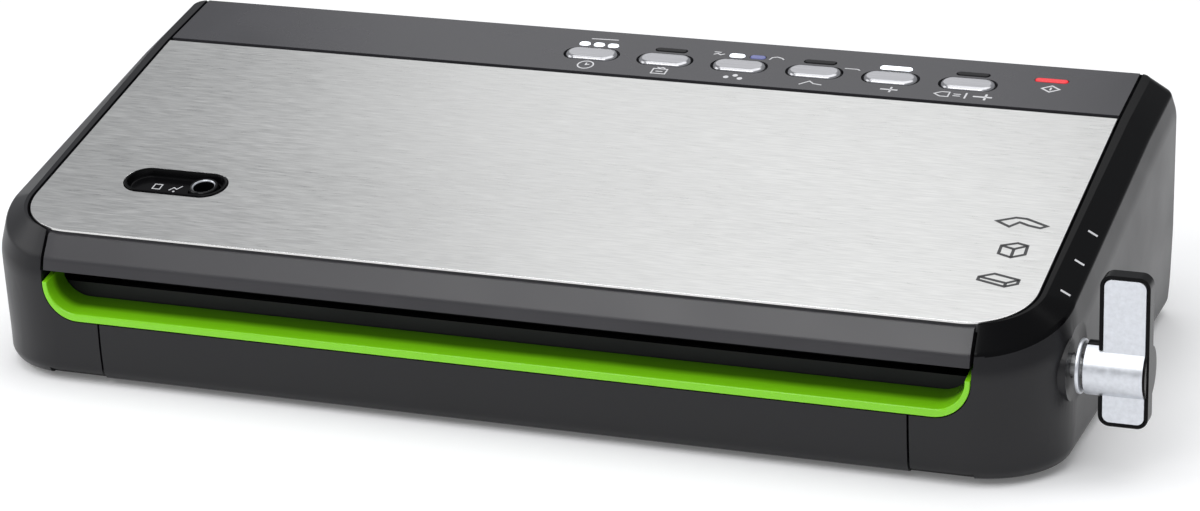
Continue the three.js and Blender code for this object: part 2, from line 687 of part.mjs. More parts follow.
// The dark frame behind the grip, with the back half of the hub.
function leverBack() {
  const paddle = extrudeY(roundedRect(213.5, LEVER_REACH, -19, 35.5, 4), -5, 1.2, 3);
  const hub = cylinderX(LEVER.hubR, LEVER.hubX, LEVER_REACH - 0.5, 0, 0, 28);
  return cut(join(paddle, hub), leverGrip(GAP));
}

function crank(axis) {
  const pinY = axis.y + CRANK.radius * Math.cos(CRANK_ANGLE);
  const pinZ = axis.z + CRANK.radius * Math.sin(CRANK_ANGLE);
  const disc = cylinderX(axis.shaftR + 2, CRANK.x0, CRANK.x1, axis.y, axis.z);
  const arm = cylinderX(CRANK.pinR + 2, CRANK.x0, CRANK.x1, pinY, pinZ);
  const bar = extrudeX(tangentBar(axis.y, axis.z, pinY, pinZ, 3.4), CRANK.x0, CRANK.x1);
  const pin = cylinderX(CRANK.pinR, LINK.x0 - 0.4, CRANK.x0 + 0.5, pinY, pinZ, 16);
  return join(disc, arm, bar, pin);
}

// A straight bar of the given half width between two points of the (y, z) plane.
function tangentBar(y0, z0, y1, z1, half) {
  const length = Math.hypot(y1 - y0, z1 - z0);
  const ny = (-(z1 - z0) / length) * half;
  const nz = ((y1 - y0) / length) * half;
  return polygon([[y0 - ny, z0 - nz], [y1 - ny, z1 - nz], [y1 + ny, z1 + nz], [y0 + ny, z0 + nz]]);
}

const leverCrank = () =>
  join(crank(LEVER), cylinderX(LEVER.shaftR, CRANK.x0, 208.6, LEVER.y, LEVER.z));

const crossShaft = () =>
  join(crank(CROSS), cylinderX(CROSS.shaftR, -182, CRANK.x0 + 1, CROSS.y, CROSS.z));

function latchLink() {
  const at = (axis) => [
    axis.y + CRANK.radius * Math.cos(CRANK_ANGLE),
    axis.z + CRANK.radius * Math.sin(CRANK_ANGLE),
  ];
  const [a, b] = [at(LEVER), at(CROSS)];
  const eyes = [a, b].map(([y, z]) => cylinderX(LINK.halfWidth + 1, LINK.x0, LINK.x1, y, z, 20));
  const holes = [a, b].map(([y, z]) => cylinderX(LINK.holeR, LINK.x0 - 1, LINK.x1 + 1, y, z, 16));
  const bar = extrudeX(tangentBar(...a, ...b, LINK.halfWidth - 0.6), LINK.x0, LINK.x1);
  return cut(join(bar, ...eyes), ...holes);
}

function latchHook(side) {
  const { y, z } = CROSS;
  const shape = polygon([
    [y - 3, z],
    [y + 4.5, z],
    [y + 4.5, z + 24],
    [y + 2, z + 29],
    [y - 3.4, z + 29],
    [y - 3.9, z + 25.2],
    [y - 0.5, z + 23.6],
    [y - 0.5, z + 16],
  ]);
  const x0 = side * HOOK_X - 2.5;
  const x1 = side * HOOK_X + 2.5;
  const body = join(extrudeX(shape, x0, x1), cylinderX(6, x0 - 1.5, x1 + 1.5, y, z));
  return cut(body, cylinderX(CROSS.shaftR + GAP, x0 - 5, x1 + 5, y, z));
}

const leverCollar = () => {
  const profile = [[7.8, 0], [9.6, 0], [9.6, 1], [9.1, 1.6], [7.8, 1.6], [7.8, 0]];
  return solid(
    lathe(profile, 32).rotateZ(-Math.PI / 2).translate(HALF_WIDTH + 0.9, LEVER.y, LEVER.z),
  );
};

// ---------------------------------------------------------------- pump and electrics
function pumpMotor() {
  const { y, z, motorR, crankX, crankHalf } = PUMP;
  const start = crankX + crankHalf + 2;
  const can = cylinderX(motorR, start, start + 52, y, z, 28);
  const boss = cylinderX(6, start + 52, start + 56, y, z, 16);
  return cut(join(can, boss), cylinderX(2.6, start - 1, start + 10, y, z, 12));
}

function pumpBlock() {
  const { y, z, crankX, crankHalf } = PUMP;
  const x1 = crankX + crankHalf;
  const block = box(crankX - crankHalf, x1, y - 16.5, y + 16.5, z - 17, z + 17);
  const cavity = cylinderX(14, crankX - crankHalf - 1, x1 - 3, y, z, 24);
  const bearing = cylinderX(3.4, x1 - 4, x1 + 1, y, z, 16);
  return cut(block, cavity, bearing);
}

function pumpShaft() {
  const { y, z, crankX, crankHalf } = PUMP;
  const shaft = cylinderX(2.2, crankX - 12, crankX + crankHalf + 11, y, z, 12);
  return join(shaft, cylinderX(8, crankX - 8, crankX + 4, y + 2.5, z, 24));
}

function pumpHead(direction) {
  const { y, z, crankX } = PUMP;
  const at = (a, b) => [z + direction * a, z + direction * b].sort((p, q) => p - q);
  const flange = cylinderZ(15.5, ...at(17.3, 22), crankX, y, 24);
  const dome = cylinderZ(12, ...at(21, 29), crankX, y, 24);
  const [n0, n1] = [crankX - 22, crankX - 8];
  return join(flange, dome, cylinderX(2.2, n0, n1, y, z + direction * 25, 12));
}

// The hose runs from the lower pump head under the roll bay to the vacuum channel.
function vacuumHose() {
  const { y, z, crankX } = PUMP;
  const path = new THREE.CatmullRomCurve3([
    new THREE.Vector3(crankX - 22.6, y, z - 25),
    new THREE.Vector3(crankX - 34, y - 1, z - 26),
    new THREE.Vector3(-58, 156, 12),
    new THREE.Vector3(-76, 138, 7.8),
    new THREE.Vector3(-92, 110, 7.6),
    new THREE.Vector3(-100, 70, 7.6),
    new THREE.Vector3(-100, 50, 8),
    new THREE.Vector3(-100, 44.5, 13),
    new THREE.Vector3(-100, 44, 20.8),
  ]);
  const section = new THREE.Shape().absarc(0, 0, 2.5, 0, 2 * Math.PI);
  const sweep = { steps: 26, extrudePath: path, curveSegments: 4, bevelEnabled: false };
  return solid(new THREE.ExtrudeGeometry(section, sweep));
}

function mainBoard() {
  const board = box(84, 168, 147, 181, 8, 9.6);
  const relay = box(92, 112, 152, 164, 9, 26);
  const bulkCap = cylinderZ(7, 9, 30, 126, 160, 16);
  const driver = box(138, 160, 152, 170, 9, 15);
  const standoffs = [[90, 176], [162, 176]].map(([x, y]) => cylinderZ(2.5, PAN_TOP_Z + GAP, 8.5, x, y, 12));
  return join(board, relay, bulkCap, driver, ...standoffs);
}

function transformer() {
  const core = box(-128, -90, 148, 180, PAN_TOP_Z + GAP, 44);
  const windows = box(-121, -97, 140, 190, 14, 36);
  const coil = box(-119.5, -98.5, 150, 178, 13, 37);
  return join(cut(core, windows), coil);
}

const lidSwitch = () =>
  join(box(-173, -165, 96, 110, DECK_Z + GAP, 41.4), box(-170, -168, 102, 104, 41, 43));

const foot = (x, y) => {
  const shape = lathe([[0, 0], [7.6, 0], [8.6, 0.6], [8.6, BASE_Z - GAP], [0, BASE_Z - GAP]], 28);
  return solid(shape.rotateX(Math.PI / 2).translate(x, y, 0));
};

// ---------------------------------------------------------------- control panel fittings
// These are drawn square to the panel, with z = 0 on its surface and y = 0 along the button row.
const buttonX = (i) => BUTTON_X0 + i * BUTTON_PITCH;
const LIGHT_ROW = (LIGHT_Y - BUTTON_Y) / Math.cos(PANEL_TILT);

// Window centres along the light row: three dots, then one window for each other button.
const DOTS = [-4.9, 0.6, 6.1].map((dx) => ({ x: BUTTON_X0 + dx, length: 3.6 }));
const WINDOWS = [1, 2, 3, 4, 5].map((i) => ({ x: buttonX(i), length: LIGHT.length }));
const WARNING = { x: WARNING_LIGHT_X, length: LIGHT.length };
const lightShape = ({ x, length }, grow) =>
  stadium(x, LIGHT_ROW, length + 2 * grow, LIGHT.width + 2 * grow);

function panelOpenings() {
  const buttons = Array.from({ length: BUTTON_COUNT }, (_, i) =>
    extrudeZ(stadium(buttonX(i), 0, BUTTON.length + 1, BUTTON.width + 1), -8, 8, 3),
  );
  const lights = [...DOTS, ...WINDOWS, WARNING].map((w) => extrudeZ(lightShape(w, 0.25), -8, 8, 2));
  return [...buttons, ...lights];
}

function button(i) {
  const { length, width, rise } = BUTTON;
  const x = buttonX(i);
  const edge = 1.2; // rounding of the cap's rim
  const flangeTop = -PANEL_THICK - GAP;
  const bevel = { bevelEnabled: true, bevelThickness: edge, bevelSize: edge, bevelSegments: 2 };
  const capShape = stadium(x, 0, length - 2 * edge, width - 2 * edge);
  const depth = rise - edge - flangeTop; // without the rounded rim at either end
  const cap = solid(extrude(capShape, depth, 3, bevel).translate(0, 0, flangeTop));
  const flange = extrudeZ(stadium(x, 0, length + 3, width + 3), flangeTop - 1, flangeTop, 2);
  const stem = cylinderZ(2, flangeTop - 2.1, flangeTop - 0.7, x, 0, 12);
  return join(cap, flange, stem);
}

function buttonMembrane() {
  const z1 = -PANEL_THICK - 4;
  return box(buttonX(0) - 15, buttonX(BUTTON_COUNT - 1) + 15, -8, 6, z1 - 1.2, z1);
}

const buttonBoard = () => box(-45, 172, -10, 12, -9.8, -8.2);

function lightGuide() {
  const runner = box(DOTS[0].x - 3, buttonX(5) + 8, LIGHT_ROW - 1.1, LIGHT_ROW + 2.4, -6.2, -3.2);
  const pips = [...DOTS, ...WINDOWS].map((w) => extrudeZ(lightShape(w, 0), -3.6, 0.2, 2));
  return join(runner, ...pips);
}

function warningLens() {
  const lens = extrudeZ(lightShape(WARNING, 0), -3.6, 0.3, 3);
  const foot = extrudeZ(lightShape(WARNING, 0.9), -5, -3.2, 2);
  return join(lens, foot);
}

// ---------------------------------------------------------------- assembly
const appliance = new THREE.Group();
const panelFrame = new THREE.Group();
panelFrame.position.set(0, BUTTON_Y, roofZ(BUTTON_Y));
panelFrame.rotation.x = PANEL_TILT;
const portFrame = new THREE.Group();
portFrame.position.set(PORT.x, PORT.y, roofZ(PORT.y));
portFrame.rotation.x = LID_TILT;
const leverFrame = new THREE.Group();
leverFrame.position.set(0, LEVER.y, LEVER.z);
appliance.add(panelFrame, portFrame, leverFrame);

function place(name, body, material, parent = appliance) {
  const mesh = new THREE.Mesh(geometryOf(body), material);
  mesh.name = name;
  parent.add(mesh);
}

// Openings drawn in the panel's own frame, moved to where the panel is.
const inPanelFrame = (body) =>
  body.rotate([(PANEL_TILT * 180) / Math.PI, 0, 0]).translate([0, BUTTON_Y, roofZ(BUTTON_Y)]);

place("base_pan", basePan(), materials.shell);
place("end_cap_right", endCap(true), materials.shell);
place("end_cap_left", mirrorX(endCap(false)), materials.shell);
place("rear_cover", rearCover(), materials.shell);
place("cord_gland", cordGland(), materials.rubber);
place("control_panel", cut(controlPanel(), ...panelOpenings().map(inPanelFrame)), materials.panel);
place("deck", deck(), materials.inner);
place("bag_shelf", bagShelf(), materials.green);
place("heater_bar", heaterBar(), materials.inner);
place("heater_strip", heaterStrip(), materials.tape);
place("lower_gasket", gasket(DECK_Z + GAP, 40.8), materials.foam);
place("drip_tray", dripTray(), materials.inner);
place("cutter_rail", cutterRail(), materials.inner);
place("cutter_carriage", cutterCarriage(), materials.green);
place("cutter_blade", cutterBlade(), materials.zinc);
place("lid_switch", lidSwitch(), materials.inner);

place("lid_frame", lidFrame(), materials.lidTrim);
place("lid_skin", lidSkin(), materials.steel);
place("lid_liner", lidLiner(), materials.inner);
place("upper_gasket", gasket(41.1, LINER_Z - GAP), materials.foam);
place("seal_pad", sealPad(), materials.rubber);
place("lid_catch_right", lidCatch(1), materials.inner);
place("lid_catch_left", lidCatch(-1), materials.inner);
place("hinge_pin_right", hingePin(1), materials.zinc);
place("hinge_pin_left", hingePin(-1), materials.zinc);
place("port_bezel", portBezel(), materials.gloss, portFrame);
place("accessory_port", accessoryPort(), materials.silver, portFrame);

place("lever_handle", leverGrip(), materials.silver, leverFrame);
place("lever_back", leverBack(), materials.gloss, leverFrame);
place("lever_crank", leverCrank(), materials.zinc);
place("lever_collar", leverCollar(), materials.silver);
place("latch_link", latchLink(), materials.zinc);
place("cross_shaft", crossShaft(), materials.zinc);
place("latch_hook_right", latchHook(1), materials.inner);
place("latch_hook_left", latchHook(-1), materials.inner);

place("pump_motor", pumpMotor(), materials.zinc);
place("pump_block", pumpBlock(), materials.inner);
place("pump_shaft", pumpShaft(), materials.zinc);
place("pump_head_upper", pumpHead(1), materials.inner);
place("pump_head_lower", pumpHead(-1), materials.inner);
place("vacuum_hose", vacuumHose(), materials.clear);
place("main_board", mainBoard(), materials.board);
place("transformer", transformer(), materials.copper);

for (let i = 0; i < BUTTON_COUNT; i++) place(`button_${i + 1}`, button(i), materials.silver, panelFrame);
place("button_membrane", buttonMembrane(), materials.rubber, panelFrame);
place("button_board", buttonBoard(), materials.board, panelFrame);
place("light_guide", lightGuide(), materials.clear, panelFrame);
place("warning_lens", warningLens(), materials.red, panelFrame);

const FOOT_X = 172;
for (const [name, x, y] of [
  ["foot_front_left", -FOOT_X, 32],
  ["foot_front_right", FOOT_X, 32],
  ["foot_rear_left", -FOOT_X, 162],
  ["foot_rear_right", FOOT_X, 162],
]) {
  place(name, foot(x, y), materials.rubber);
}

// The footprint's middle, lever included, is the origin.
const REARMOST = DEPTH + 11.6; // end of the cord gland
const centred = new THREE.Group();
appliance.position.set(-(LEVER_REACH - HALF_WIDTH) / 2, -(FRONTMOST + REARMOST) / 2, 0);
centred.add(appliance);

export default centred;
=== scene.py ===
"""Looks of a countertop vacuum sealer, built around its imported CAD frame.

Mesh code works in the housing's own millimetres: x = 0 is the middle of the housing, y = 0 its front face and
z = 0 the surface it stands on. finish_piece() moves a mesh from there to the row frame, in metres.
"""

import math

import bmesh
import bpy
from mathutils import Matrix, Vector
from mathutils.bvhtree import BVHTree


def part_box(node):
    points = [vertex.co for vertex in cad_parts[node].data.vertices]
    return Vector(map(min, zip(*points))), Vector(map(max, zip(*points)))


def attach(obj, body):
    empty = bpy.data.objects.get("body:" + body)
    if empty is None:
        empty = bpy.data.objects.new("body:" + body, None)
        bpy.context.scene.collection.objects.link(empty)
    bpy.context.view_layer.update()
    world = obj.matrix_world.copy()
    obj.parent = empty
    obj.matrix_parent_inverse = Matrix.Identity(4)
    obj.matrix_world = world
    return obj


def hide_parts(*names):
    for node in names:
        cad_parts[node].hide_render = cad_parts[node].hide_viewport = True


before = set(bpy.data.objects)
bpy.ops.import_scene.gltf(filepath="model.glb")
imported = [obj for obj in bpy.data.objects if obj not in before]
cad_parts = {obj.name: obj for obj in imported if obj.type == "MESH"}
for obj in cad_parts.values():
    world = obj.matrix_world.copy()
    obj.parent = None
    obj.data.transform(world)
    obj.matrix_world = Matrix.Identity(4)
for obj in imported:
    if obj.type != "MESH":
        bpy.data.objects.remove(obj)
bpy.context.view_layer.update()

# ---------------------------------------------------------------- driving dimensions, millimetres
MM = 0.001
GAP = 0.3
WALL = 2.4
BEVEL = 0.45
WELD = 0.01
PAST = 5  # how far a cutting block reaches past the housing's front or back
TALL = 120  # more than the housing's height

# Housing
HALF_WIDTH = 205.1
DEPTH = 190.0
BASE_Z = 2.2
FRONT_TOP_Z = 55.9
LID_SLOPE = 0.2262
PANEL_SLOPE = 0.1685
LID_TILT = math.atan(LID_SLOPE)
PANEL_TILT = math.atan(PANEL_SLOPE)
KINK_Y = 145.0
FRONT_CORNER = 33.0
BACK_CORNER = 6.0
CORNER_STEPS = 22
SHOULDER_INSET = 11.3
SHOULDER_FLARE = 2.6
CREASE_INSET = 1.9
SEAM_X = 154.0
SEAM_WIDTH = 0.8
FRONT_WALL_REACH = 9
PAN_TOP_Z = 4.6
CHEEK_X = 176.2
CHEEK_THICK = 2.4
LEDGE_DROP = 6.0
SCREW_SPOTS = [(x, y) for x in (-120, 0, 120) for y in (22, 166)] + [(-186, 96), (186, 96)]
GLAND = (-150.0, 20.0)
VENT_COUNT, VENT_PITCH, VENT_WIDTH, VENT_HEIGHT = 9, 12, 5, 32

# Lid, its steel skin and its hinge
LID_HALF = 175.6
LID_RIM_Z = 44.0
LID_END_SHADOW = 0.7
SKIN_HALF = 191.4
SKIN_FRONT_Y = 8.2
SKIN_BACK_Y = 145.3
SKIN_CORNER = 22.0
SKIN_GAP = 1.2
SKIN_THICK = 0.8
SKIN_STEP = SKIN_THICK + GAP
SKIN_GROOVE = 1.5
HINGE_Y = 143.4
BARREL_R = 3.0
PIN_HOLE_R = 1.65

# Bag shelf
SHELF_Z = 25.2
SHELF_HALF = 175.4
SHELF_CORNER = 13.5
SHELF_BAND = 3.0
SHELF_CURL = 1.9
SHELF_END_Z = 39.6
SHELF_DEPTH = 13.0
SHELF_RISE = 0.2

# Control panel, its buttons and lights
PANEL_FRONT_Y = 147.7
PANEL_BACK_Y = 182.0
PANEL_HALF = 191.4
PANEL_THICK = 2.5
PANEL_EDGE_THICK = 1.2
PANEL_CHAMFER = 1.4
PANEL_RIM = 8.2
BUTTON_Y = 162.4
BUTTON_X = [-18.9 + 29.92 * i for i in range(6)]
BUTTON_LENGTH = 21.8
BUTTON_WIDTH = 10.4
CAP_RISE = 0.9
LIGHT_ROW = (170.6 - BUTTON_Y) / math.cos(PANEL_TILT)
LIGHT_LENGTH = 12.6
LIGHT_WIDTH = 2.9
WARNING_X = 160.7

# Accessory port in the lid
PORT_X, PORT_Y = -141.4, 45.7
PORT_LENGTH = 41.0
PORT_WIDTH = 16.5
PORT_HOLE_X = 11.4
PORT_TUBE_R = 6.0
PORT_FLOOR_Z = -9.6
PORT_FLOOR_THICK = 1.2

# Lever
LEVER_Y = 30.2
LEVER_Z = 37.5
LEVER_HUB_R = 9.4
LEVER_HUB_X = 208.9
LEVER_SPLIT_Y = -2.5
LEVER_INNER_X = 213.5
LEVER_REACH = 230.8
LEVER_BOTTOM = -19.0
LEVER_TOP = 35.5
LEVER_RIM = 1.5
LEVER_GRIP_X = LEVER_REACH - 1.4
TICK_Y = (35.4, 54.5, 73.2)


def roof_z(y):
    """Height of the lid and control panel above the table."""
    return FRONT_TOP_Z + LID_SLOPE * min(y, KINK_Y) + PANEL_SLOPE * max(y - KINK_Y, 0)


HINGE_Z = roof_z(HINGE_Y) - 4.2

# The housing's own origin, found from two of the frame's nodes.
pan_low, pan_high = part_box("base_pan")
ORIGIN = Vector(((pan_low.x + pan_high.x) / 2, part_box("rear_cover")[1].y - DEPTH * MM, 0))
TO_ROW = Matrix.Translation(ORIGIN) @ Matrix.Scale(MM, 4)
PANEL_FRAME = Matrix.Translation((0, BUTTON_Y, roof_z(BUTTON_Y))) @ Matrix.Rotation(PANEL_TILT, 4, "X")
PORT_FRAME = Matrix.Translation((PORT_X, PORT_Y, roof_z(PORT_Y))) @ Matrix.Rotation(LID_TILT, 4, "X")
LEVER_FRAME = Matrix.Translation((0, LEVER_Y, LEVER_Z))


# ---------------------------------------------------------------- meshes
def new_object(name, bm):
    bmesh.ops.recalc_face_normals(bm, faces=bm.faces)
    mesh = bpy.data.meshes.new(name)
    bm.to_mesh(mesh)
    bm.free()
    obj = bpy.data.objects.new(name, mesh)
    bpy.context.scene.collection.objects.link(obj)
    return obj


def stitched(name, rings, closed=False):
    """A closed body through rings of equal length; closed joins the last ring to the first."""
    bm = bmesh.new()
    grid = [[bm.verts.new(p) for p in ring] for ring in rings]
    count = len(rings[0])
    pairs = list(zip(grid, grid[1:])) + ([(grid[-1], grid[0])] if closed else [])
    for low, high in pairs:
        for j in range(count):
            k = (j + 1) % count
            bm.faces.new((low[j], low[k], high[k], high[j]))
    if not closed:
        bm.faces.new(grid[0])
        bm.faces.new(grid[-1])
    return new_object(name, bm)


def prism(points, axis, start, end):
    """An outline drawn in the other two axes, in X, Y, Z order, drawn out along one axis."""
    place = {
        "x": lambda a, b, t: (t, a, b),
        "y": lambda a, b, t: (a, t, b),
        "z": lambda a, b, t: (a, b, t),
    }[axis]
    return stitched("tool", [[place(a, b, t) for a, b in points] for t in (start, end)])


def block(x0, x1, y0, y1, z0, z1):
    return prism([(x0, y0), (x1, y0), (x1, y1), (x0, y1)], "z", z0, z1)


def ring_points(radius, axis, along, centre, segments):
    """A circle about an axis, at a distance along it; its centre is given in the other two axes."""
    a, b = centre
    place = {
        "x": lambda c, s: (along, a + c, b + s),
        "y": lambda c, s: (a + c, along, b + s),
        "z": lambda c, s: (a + c, b + s, along),
    }[axis]
    angles = [2 * math.pi * j / segments for j in range(segments)]
    return [place(radius * math.cos(angle), radius * math.sin(angle)) for angle in angles]


def rod(radius, axis, start, end, centre, segments=48):
    return stitched("tool", [ring_points(radius, axis, t, centre, segments) for t in (start, end)])


def lathe(profile, axis, centre, start=0):
    """A closed profile of (radius, distance along the axis from the start) turned about an axis."""
    return stitched("tool", [ring_points(r, axis, start + h, centre, 64) for r, h in profile], closed=True)


def arc(cx, cy, radius, start, end, steps):
    """Points along a circle's arc, both ends included; angles in quarter turns."""
    angles = [(start + (end - start) * i / steps) * math.pi / 2 for i in range(steps + 1)]
    return [(cx + radius * math.cos(a), cy + radius * math.sin(a)) for a in angles]


def rounded_rect(x0, x1, y0, y1, radius, steps=10):
    radius = min(radius, (x1 - x0) / 2 - 1e-3, (y1 - y0) / 2 - 1e-3)
    return (
        arc(x1 - radius, y0 + radius, radius, -1, 0, steps)
        + arc(x1 - radius, y1 - radius, radius, 0, 1, steps)
        + arc(x0 + radius, y1 - radius, radius, 1, 2, steps)
        + arc(x0 + radius, y0 + radius, radius, 2, 3, steps)
    )


def stadium(cx, cy, length, width, steps=10):
    return rounded_rect(cx - length / 2, cx + length / 2, cy - width / 2, cy + width / 2, width / 2, steps)


def bake(obj):
    """The object's mesh as its modifiers leave it, with no modifiers left."""
    graph = bpy.context.evaluated_depsgraph_get()
    mesh = bpy.data.meshes.new_from_object(obj.evaluated_get(graph))
    obj.modifiers.clear()
    old = obj.data
    obj.data = mesh
    bpy.data.meshes.remove(old)
    return obj


def combine(body, operation, tools):
    for tool in tools:
        step = body.modifiers.new("step", "BOOLEAN")
        step.operation = operation
        step.solver = "MANIFOLD"
        step.object = tool
    bake(body)
    for tool in tools:
        mesh = tool.data
        bpy.data.objects.remove(tool)
        bpy.data.meshes.remove(mesh)
    return body


def cut(body, *tools):
    return combine(body, "DIFFERENCE", tools)


def join(body, *tools):
    return combine(body, "UNION", tools)


def common(body, *tools):
    return combine(body, "INTERSECT", tools)


def moved(obj, matrix):
    obj.data.transform(matrix)
    return obj


def copy_of(obj):
    twin = obj.copy()
    twin.data = obj.data.copy()
    bpy.context.scene.collection.objects.link(twin)
    return twin


def mirrored(obj):
    obj.data.transform(Matrix.Scale(-1, 4, (1, 0, 0)))
    obj.data.flip_normals()
    return obj


def roof_slab(top_drop, bottom_drop, y0, y1, half):
    """A slab that follows the roof line, between two distances below it."""
    stops = [y0] + ([KINK_Y] if y0 < KINK_Y < y1 else []) + [y1]
    top = [(y, roof_z(y) - top_drop) for y in stops]
    bottom = [(y, roof_z(y) - bottom_drop) for y in reversed(stops)]
    return prism(top + bottom, "x", -half, half)


# ---------------------------------------------------------------- housing envelope
def crease_drop(y):
    """How far the crease round the top of the walls lies below the roof line."""
    return 8.2 - 3.6 * min(y / 35, 1) + 0.019 * max(y - 35, 0)


# Set-in at the side, front and back, corner radii at the front and back, height, how much wider the back is
# than the front, and how far the crease is rounded, from the bottom up.
LEVELS = [
    (5.1, 5.5, 5.5, 27, BACK_CORNER, lambda y: BASE_Z, 0, 0),
    (3, 3.2, 2.9, 30, BACK_CORNER, lambda y: BASE_Z + 0.9, 0, 0.8),
    (1.5, 1.6, 1.3, 31, BACK_CORNER, lambda y: 6, 0, 1.4),
    (1, 0.7, 0.5, FRONT_CORNER, BACK_CORNER, lambda y: 14, 0, 3.5),
    (0.4, 0.1, 0, FRONT_CORNER, BACK_CORNER, lambda y: 34, 0, 4),
    (0, 0.1, 0.6, FRONT_CORNER, BACK_CORNER, lambda y: roof_z(y) - 15, 0, 2.6),
    (CREASE_INSET, 1.7, 2, FRONT_CORNER, BACK_CORNER, lambda y: roof_z(y) - crease_drop(y), 0, 1.0),
    (SHOULDER_INSET, 8, 8, SKIN_CORNER, 5, roof_z, SHOULDER_FLARE, 0.1),
    (SHOULDER_INSET, 8, 8, SKIN_CORNER, 5, lambda y: roof_z(y) + 10, SHOULDER_FLARE, 0),
]


def plan_ring(side, front, back, front_r, back_r, height, flare):
    """One level of the housing as a ring of points, seen from above."""
    x, y0, y1 = HALF_WIDTH - side, front, DEPTH - back
    right = arc(x - front_r, y0 + front_r, front_r, -1, 0, CORNER_STEPS)
    right += [(x, KINK_Y)] + arc(x - back_r, y1 - back_r, back_r, 0, 1, CORNER_STEPS // 2)
    right = [(px + flare * py / DEPTH, py) for px, py in right]
    left = [(-px, py) for px, py in reversed(right)]
    return [Vector((px, py, height(py))) for px, py in right + left]


def rounded_line(points, reaches, steps=5):
    """The line through the points, each inner corner replaced by a curve of the given reach."""
    line = [points[0]]
    for before, here, after, reach in zip(points, points[1:], points[2:], reaches[1:]):
        a = here + (before - here).normalized() * reach
        b = here + (after - here).normalized() * reach
        for i in range(steps + 1):
            t = i / steps
            line.append(a.lerp(here, t).lerp(here.lerp(b, t), t))
    return line + [points[-1]]


def envelope(inset):
    """The housing's whole volume, set in everywhere by the same amount."""
    rings = []
    for side, front, back, front_r, back_r, height, flare, _ in LEVELS:
        radii = front_r - inset, max(back_r - inset, 2)
        rings.append(plan_ring(side + inset, front + inset, back + inset, *radii, height, flare))
    reaches = [level[-1] for level in LEVELS]
    columns = [rounded_line([ring[j] for ring in rings], reaches) for j in range(len(rings[0]))]
    body = stitched("envelope", [list(ring) for ring in zip(*columns)])
    return common(body, roof_slab(inset, TALL, -10, DEPTH + 10, HALF_WIDTH + 10))


def skin_outline(grow, back_y):
    """The steel skin's outline from above, open corners at the back."""
    half, front, r = SKIN_HALF + grow, SKIN_FRONT_Y - grow, SKIN_CORNER + grow
    right = arc(half - r, front + r, r, -1, 0, CORNER_STEPS) + [(half, back_y)]
    return right + [(-x, y) for x, y in reversed(right)]


def slot_outline(grow_x, grow_z, top_z):
    """The bag slot's U outline from the front."""
    half, bottom, r = SHELF_HALF + grow_x, SHELF_Z - grow_z, SHELF_CORNER + (grow_x + grow_z) / 2
    right = arc(half - r, bottom + r, r, -1, 0, CORNER_STEPS) + [(half, top_z)]
    return right + [(-x, z) for x, z in reversed(right)]


OUTER = envelope(0)
INNER = envelope(WALL)


# ---------------------------------------------------------------- materials
def shader(name, color, roughness, metallic=0.0, **sockets):
    """A material with its Principled shader and object coordinates, ready for detail."""
    material = bpy.data.materials.new(name)
    material.use_nodes = True
    nodes = material.node_tree.nodes
    principled = nodes["Principled BSDF"]
    principled.inputs["Base Color"].default_value = (*color, 1)
    principled.inputs["Roughness"].default_value = roughness
    principled.inputs["Metallic"].default_value = metallic
    for socket, value in sockets.items():
        principled.inputs[socket.replace("_", " ")].default_value = value
    material.diffuse_color = (*color, 1)
    return material, principled


def noise(material, scale, detail=3.0, stretch=(1, 1, 1)):
    """Noise over the row frame, in metres; scale is in features a metre."""
    tree = material.node_tree
    coordinates = tree.nodes.new("ShaderNodeTexCoord")
    mapping = tree.nodes.new("ShaderNodeMapping")
    mapping.inputs["Scale"].default_value = stretch
    texture = tree.nodes.new("ShaderNodeTexNoise")
    texture.inputs["Scale"].default_value = scale
    texture.inputs["Detail"].default_value = detail
    tree.links.new(coordinates.outputs["Object"], mapping.inputs["Vector"])
    tree.links.new(mapping.outputs["Vector"], texture.inputs["Vector"])
    return texture.outputs["Fac"]


def spread(material, value, low, high):
    """Maps the middle of a noise's range to another range."""
    node = material.node_tree.nodes.new("ShaderNodeMapRange")
    node.inputs["From Min"].default_value = 0.3
    node.inputs["From Max"].default_value = 0.7
    node.inputs["To Min"].default_value = low
    node.inputs["To Max"].default_value = high
    material.node_tree.links.new(value, node.inputs["Value"])
    return node.outputs["Result"]


def tint(material, principled, value, dark, light):
    ramp = material.node_tree.nodes.new("ShaderNodeValToRGB")
    ramp.color_ramp.elements[0].position = 0.3
    ramp.color_ramp.elements[1].position = 0.7
    ramp.color_ramp.elements[0].color = (*dark, 1)
    ramp.color_ramp.elements[1].color = (*light, 1)
    material.node_tree.links.new(value, ramp.inputs["Fac"])
    material.node_tree.links.new(ramp.outputs["Color"], principled.inputs["Base Color"])


def rough(material, principled, value, low, high):
    material.node_tree.links.new(spread(material, value, low, high), principled.inputs["Roughness"])


def bump(material, principled, value, strength, distance):
    node = material.node_tree.nodes.new("ShaderNodeBump")
    node.inputs["Strength"].default_value = strength
    node.inputs["Distance"].default_value = distance
    material.node_tree.links.new(value, node.inputs["Height"])
    material.node_tree.links.new(node.outputs["Normal"], principled.inputs["Normal"])


def mixed(material, first, second, share):
    """Two values added together: the given share of the first and the rest of the second."""
    tree = material.node_tree
    rest = tree.nodes.new("ShaderNodeMath")
    rest.operation = "MULTIPLY"
    rest.inputs[1].default_value = 1 - share
    tree.links.new(second, rest.inputs[0])
    total = tree.nodes.new("ShaderNodeMath")
    total.operation = "MULTIPLY_ADD"
    total.inputs[1].default_value = share
    tree.links.new(first, total.inputs[0])
    tree.links.new(rest.outputs[0], total.inputs[2])
    return total.outputs[0]


def shade(color, factor):
    return tuple(min(c * factor, 1) for c in color)


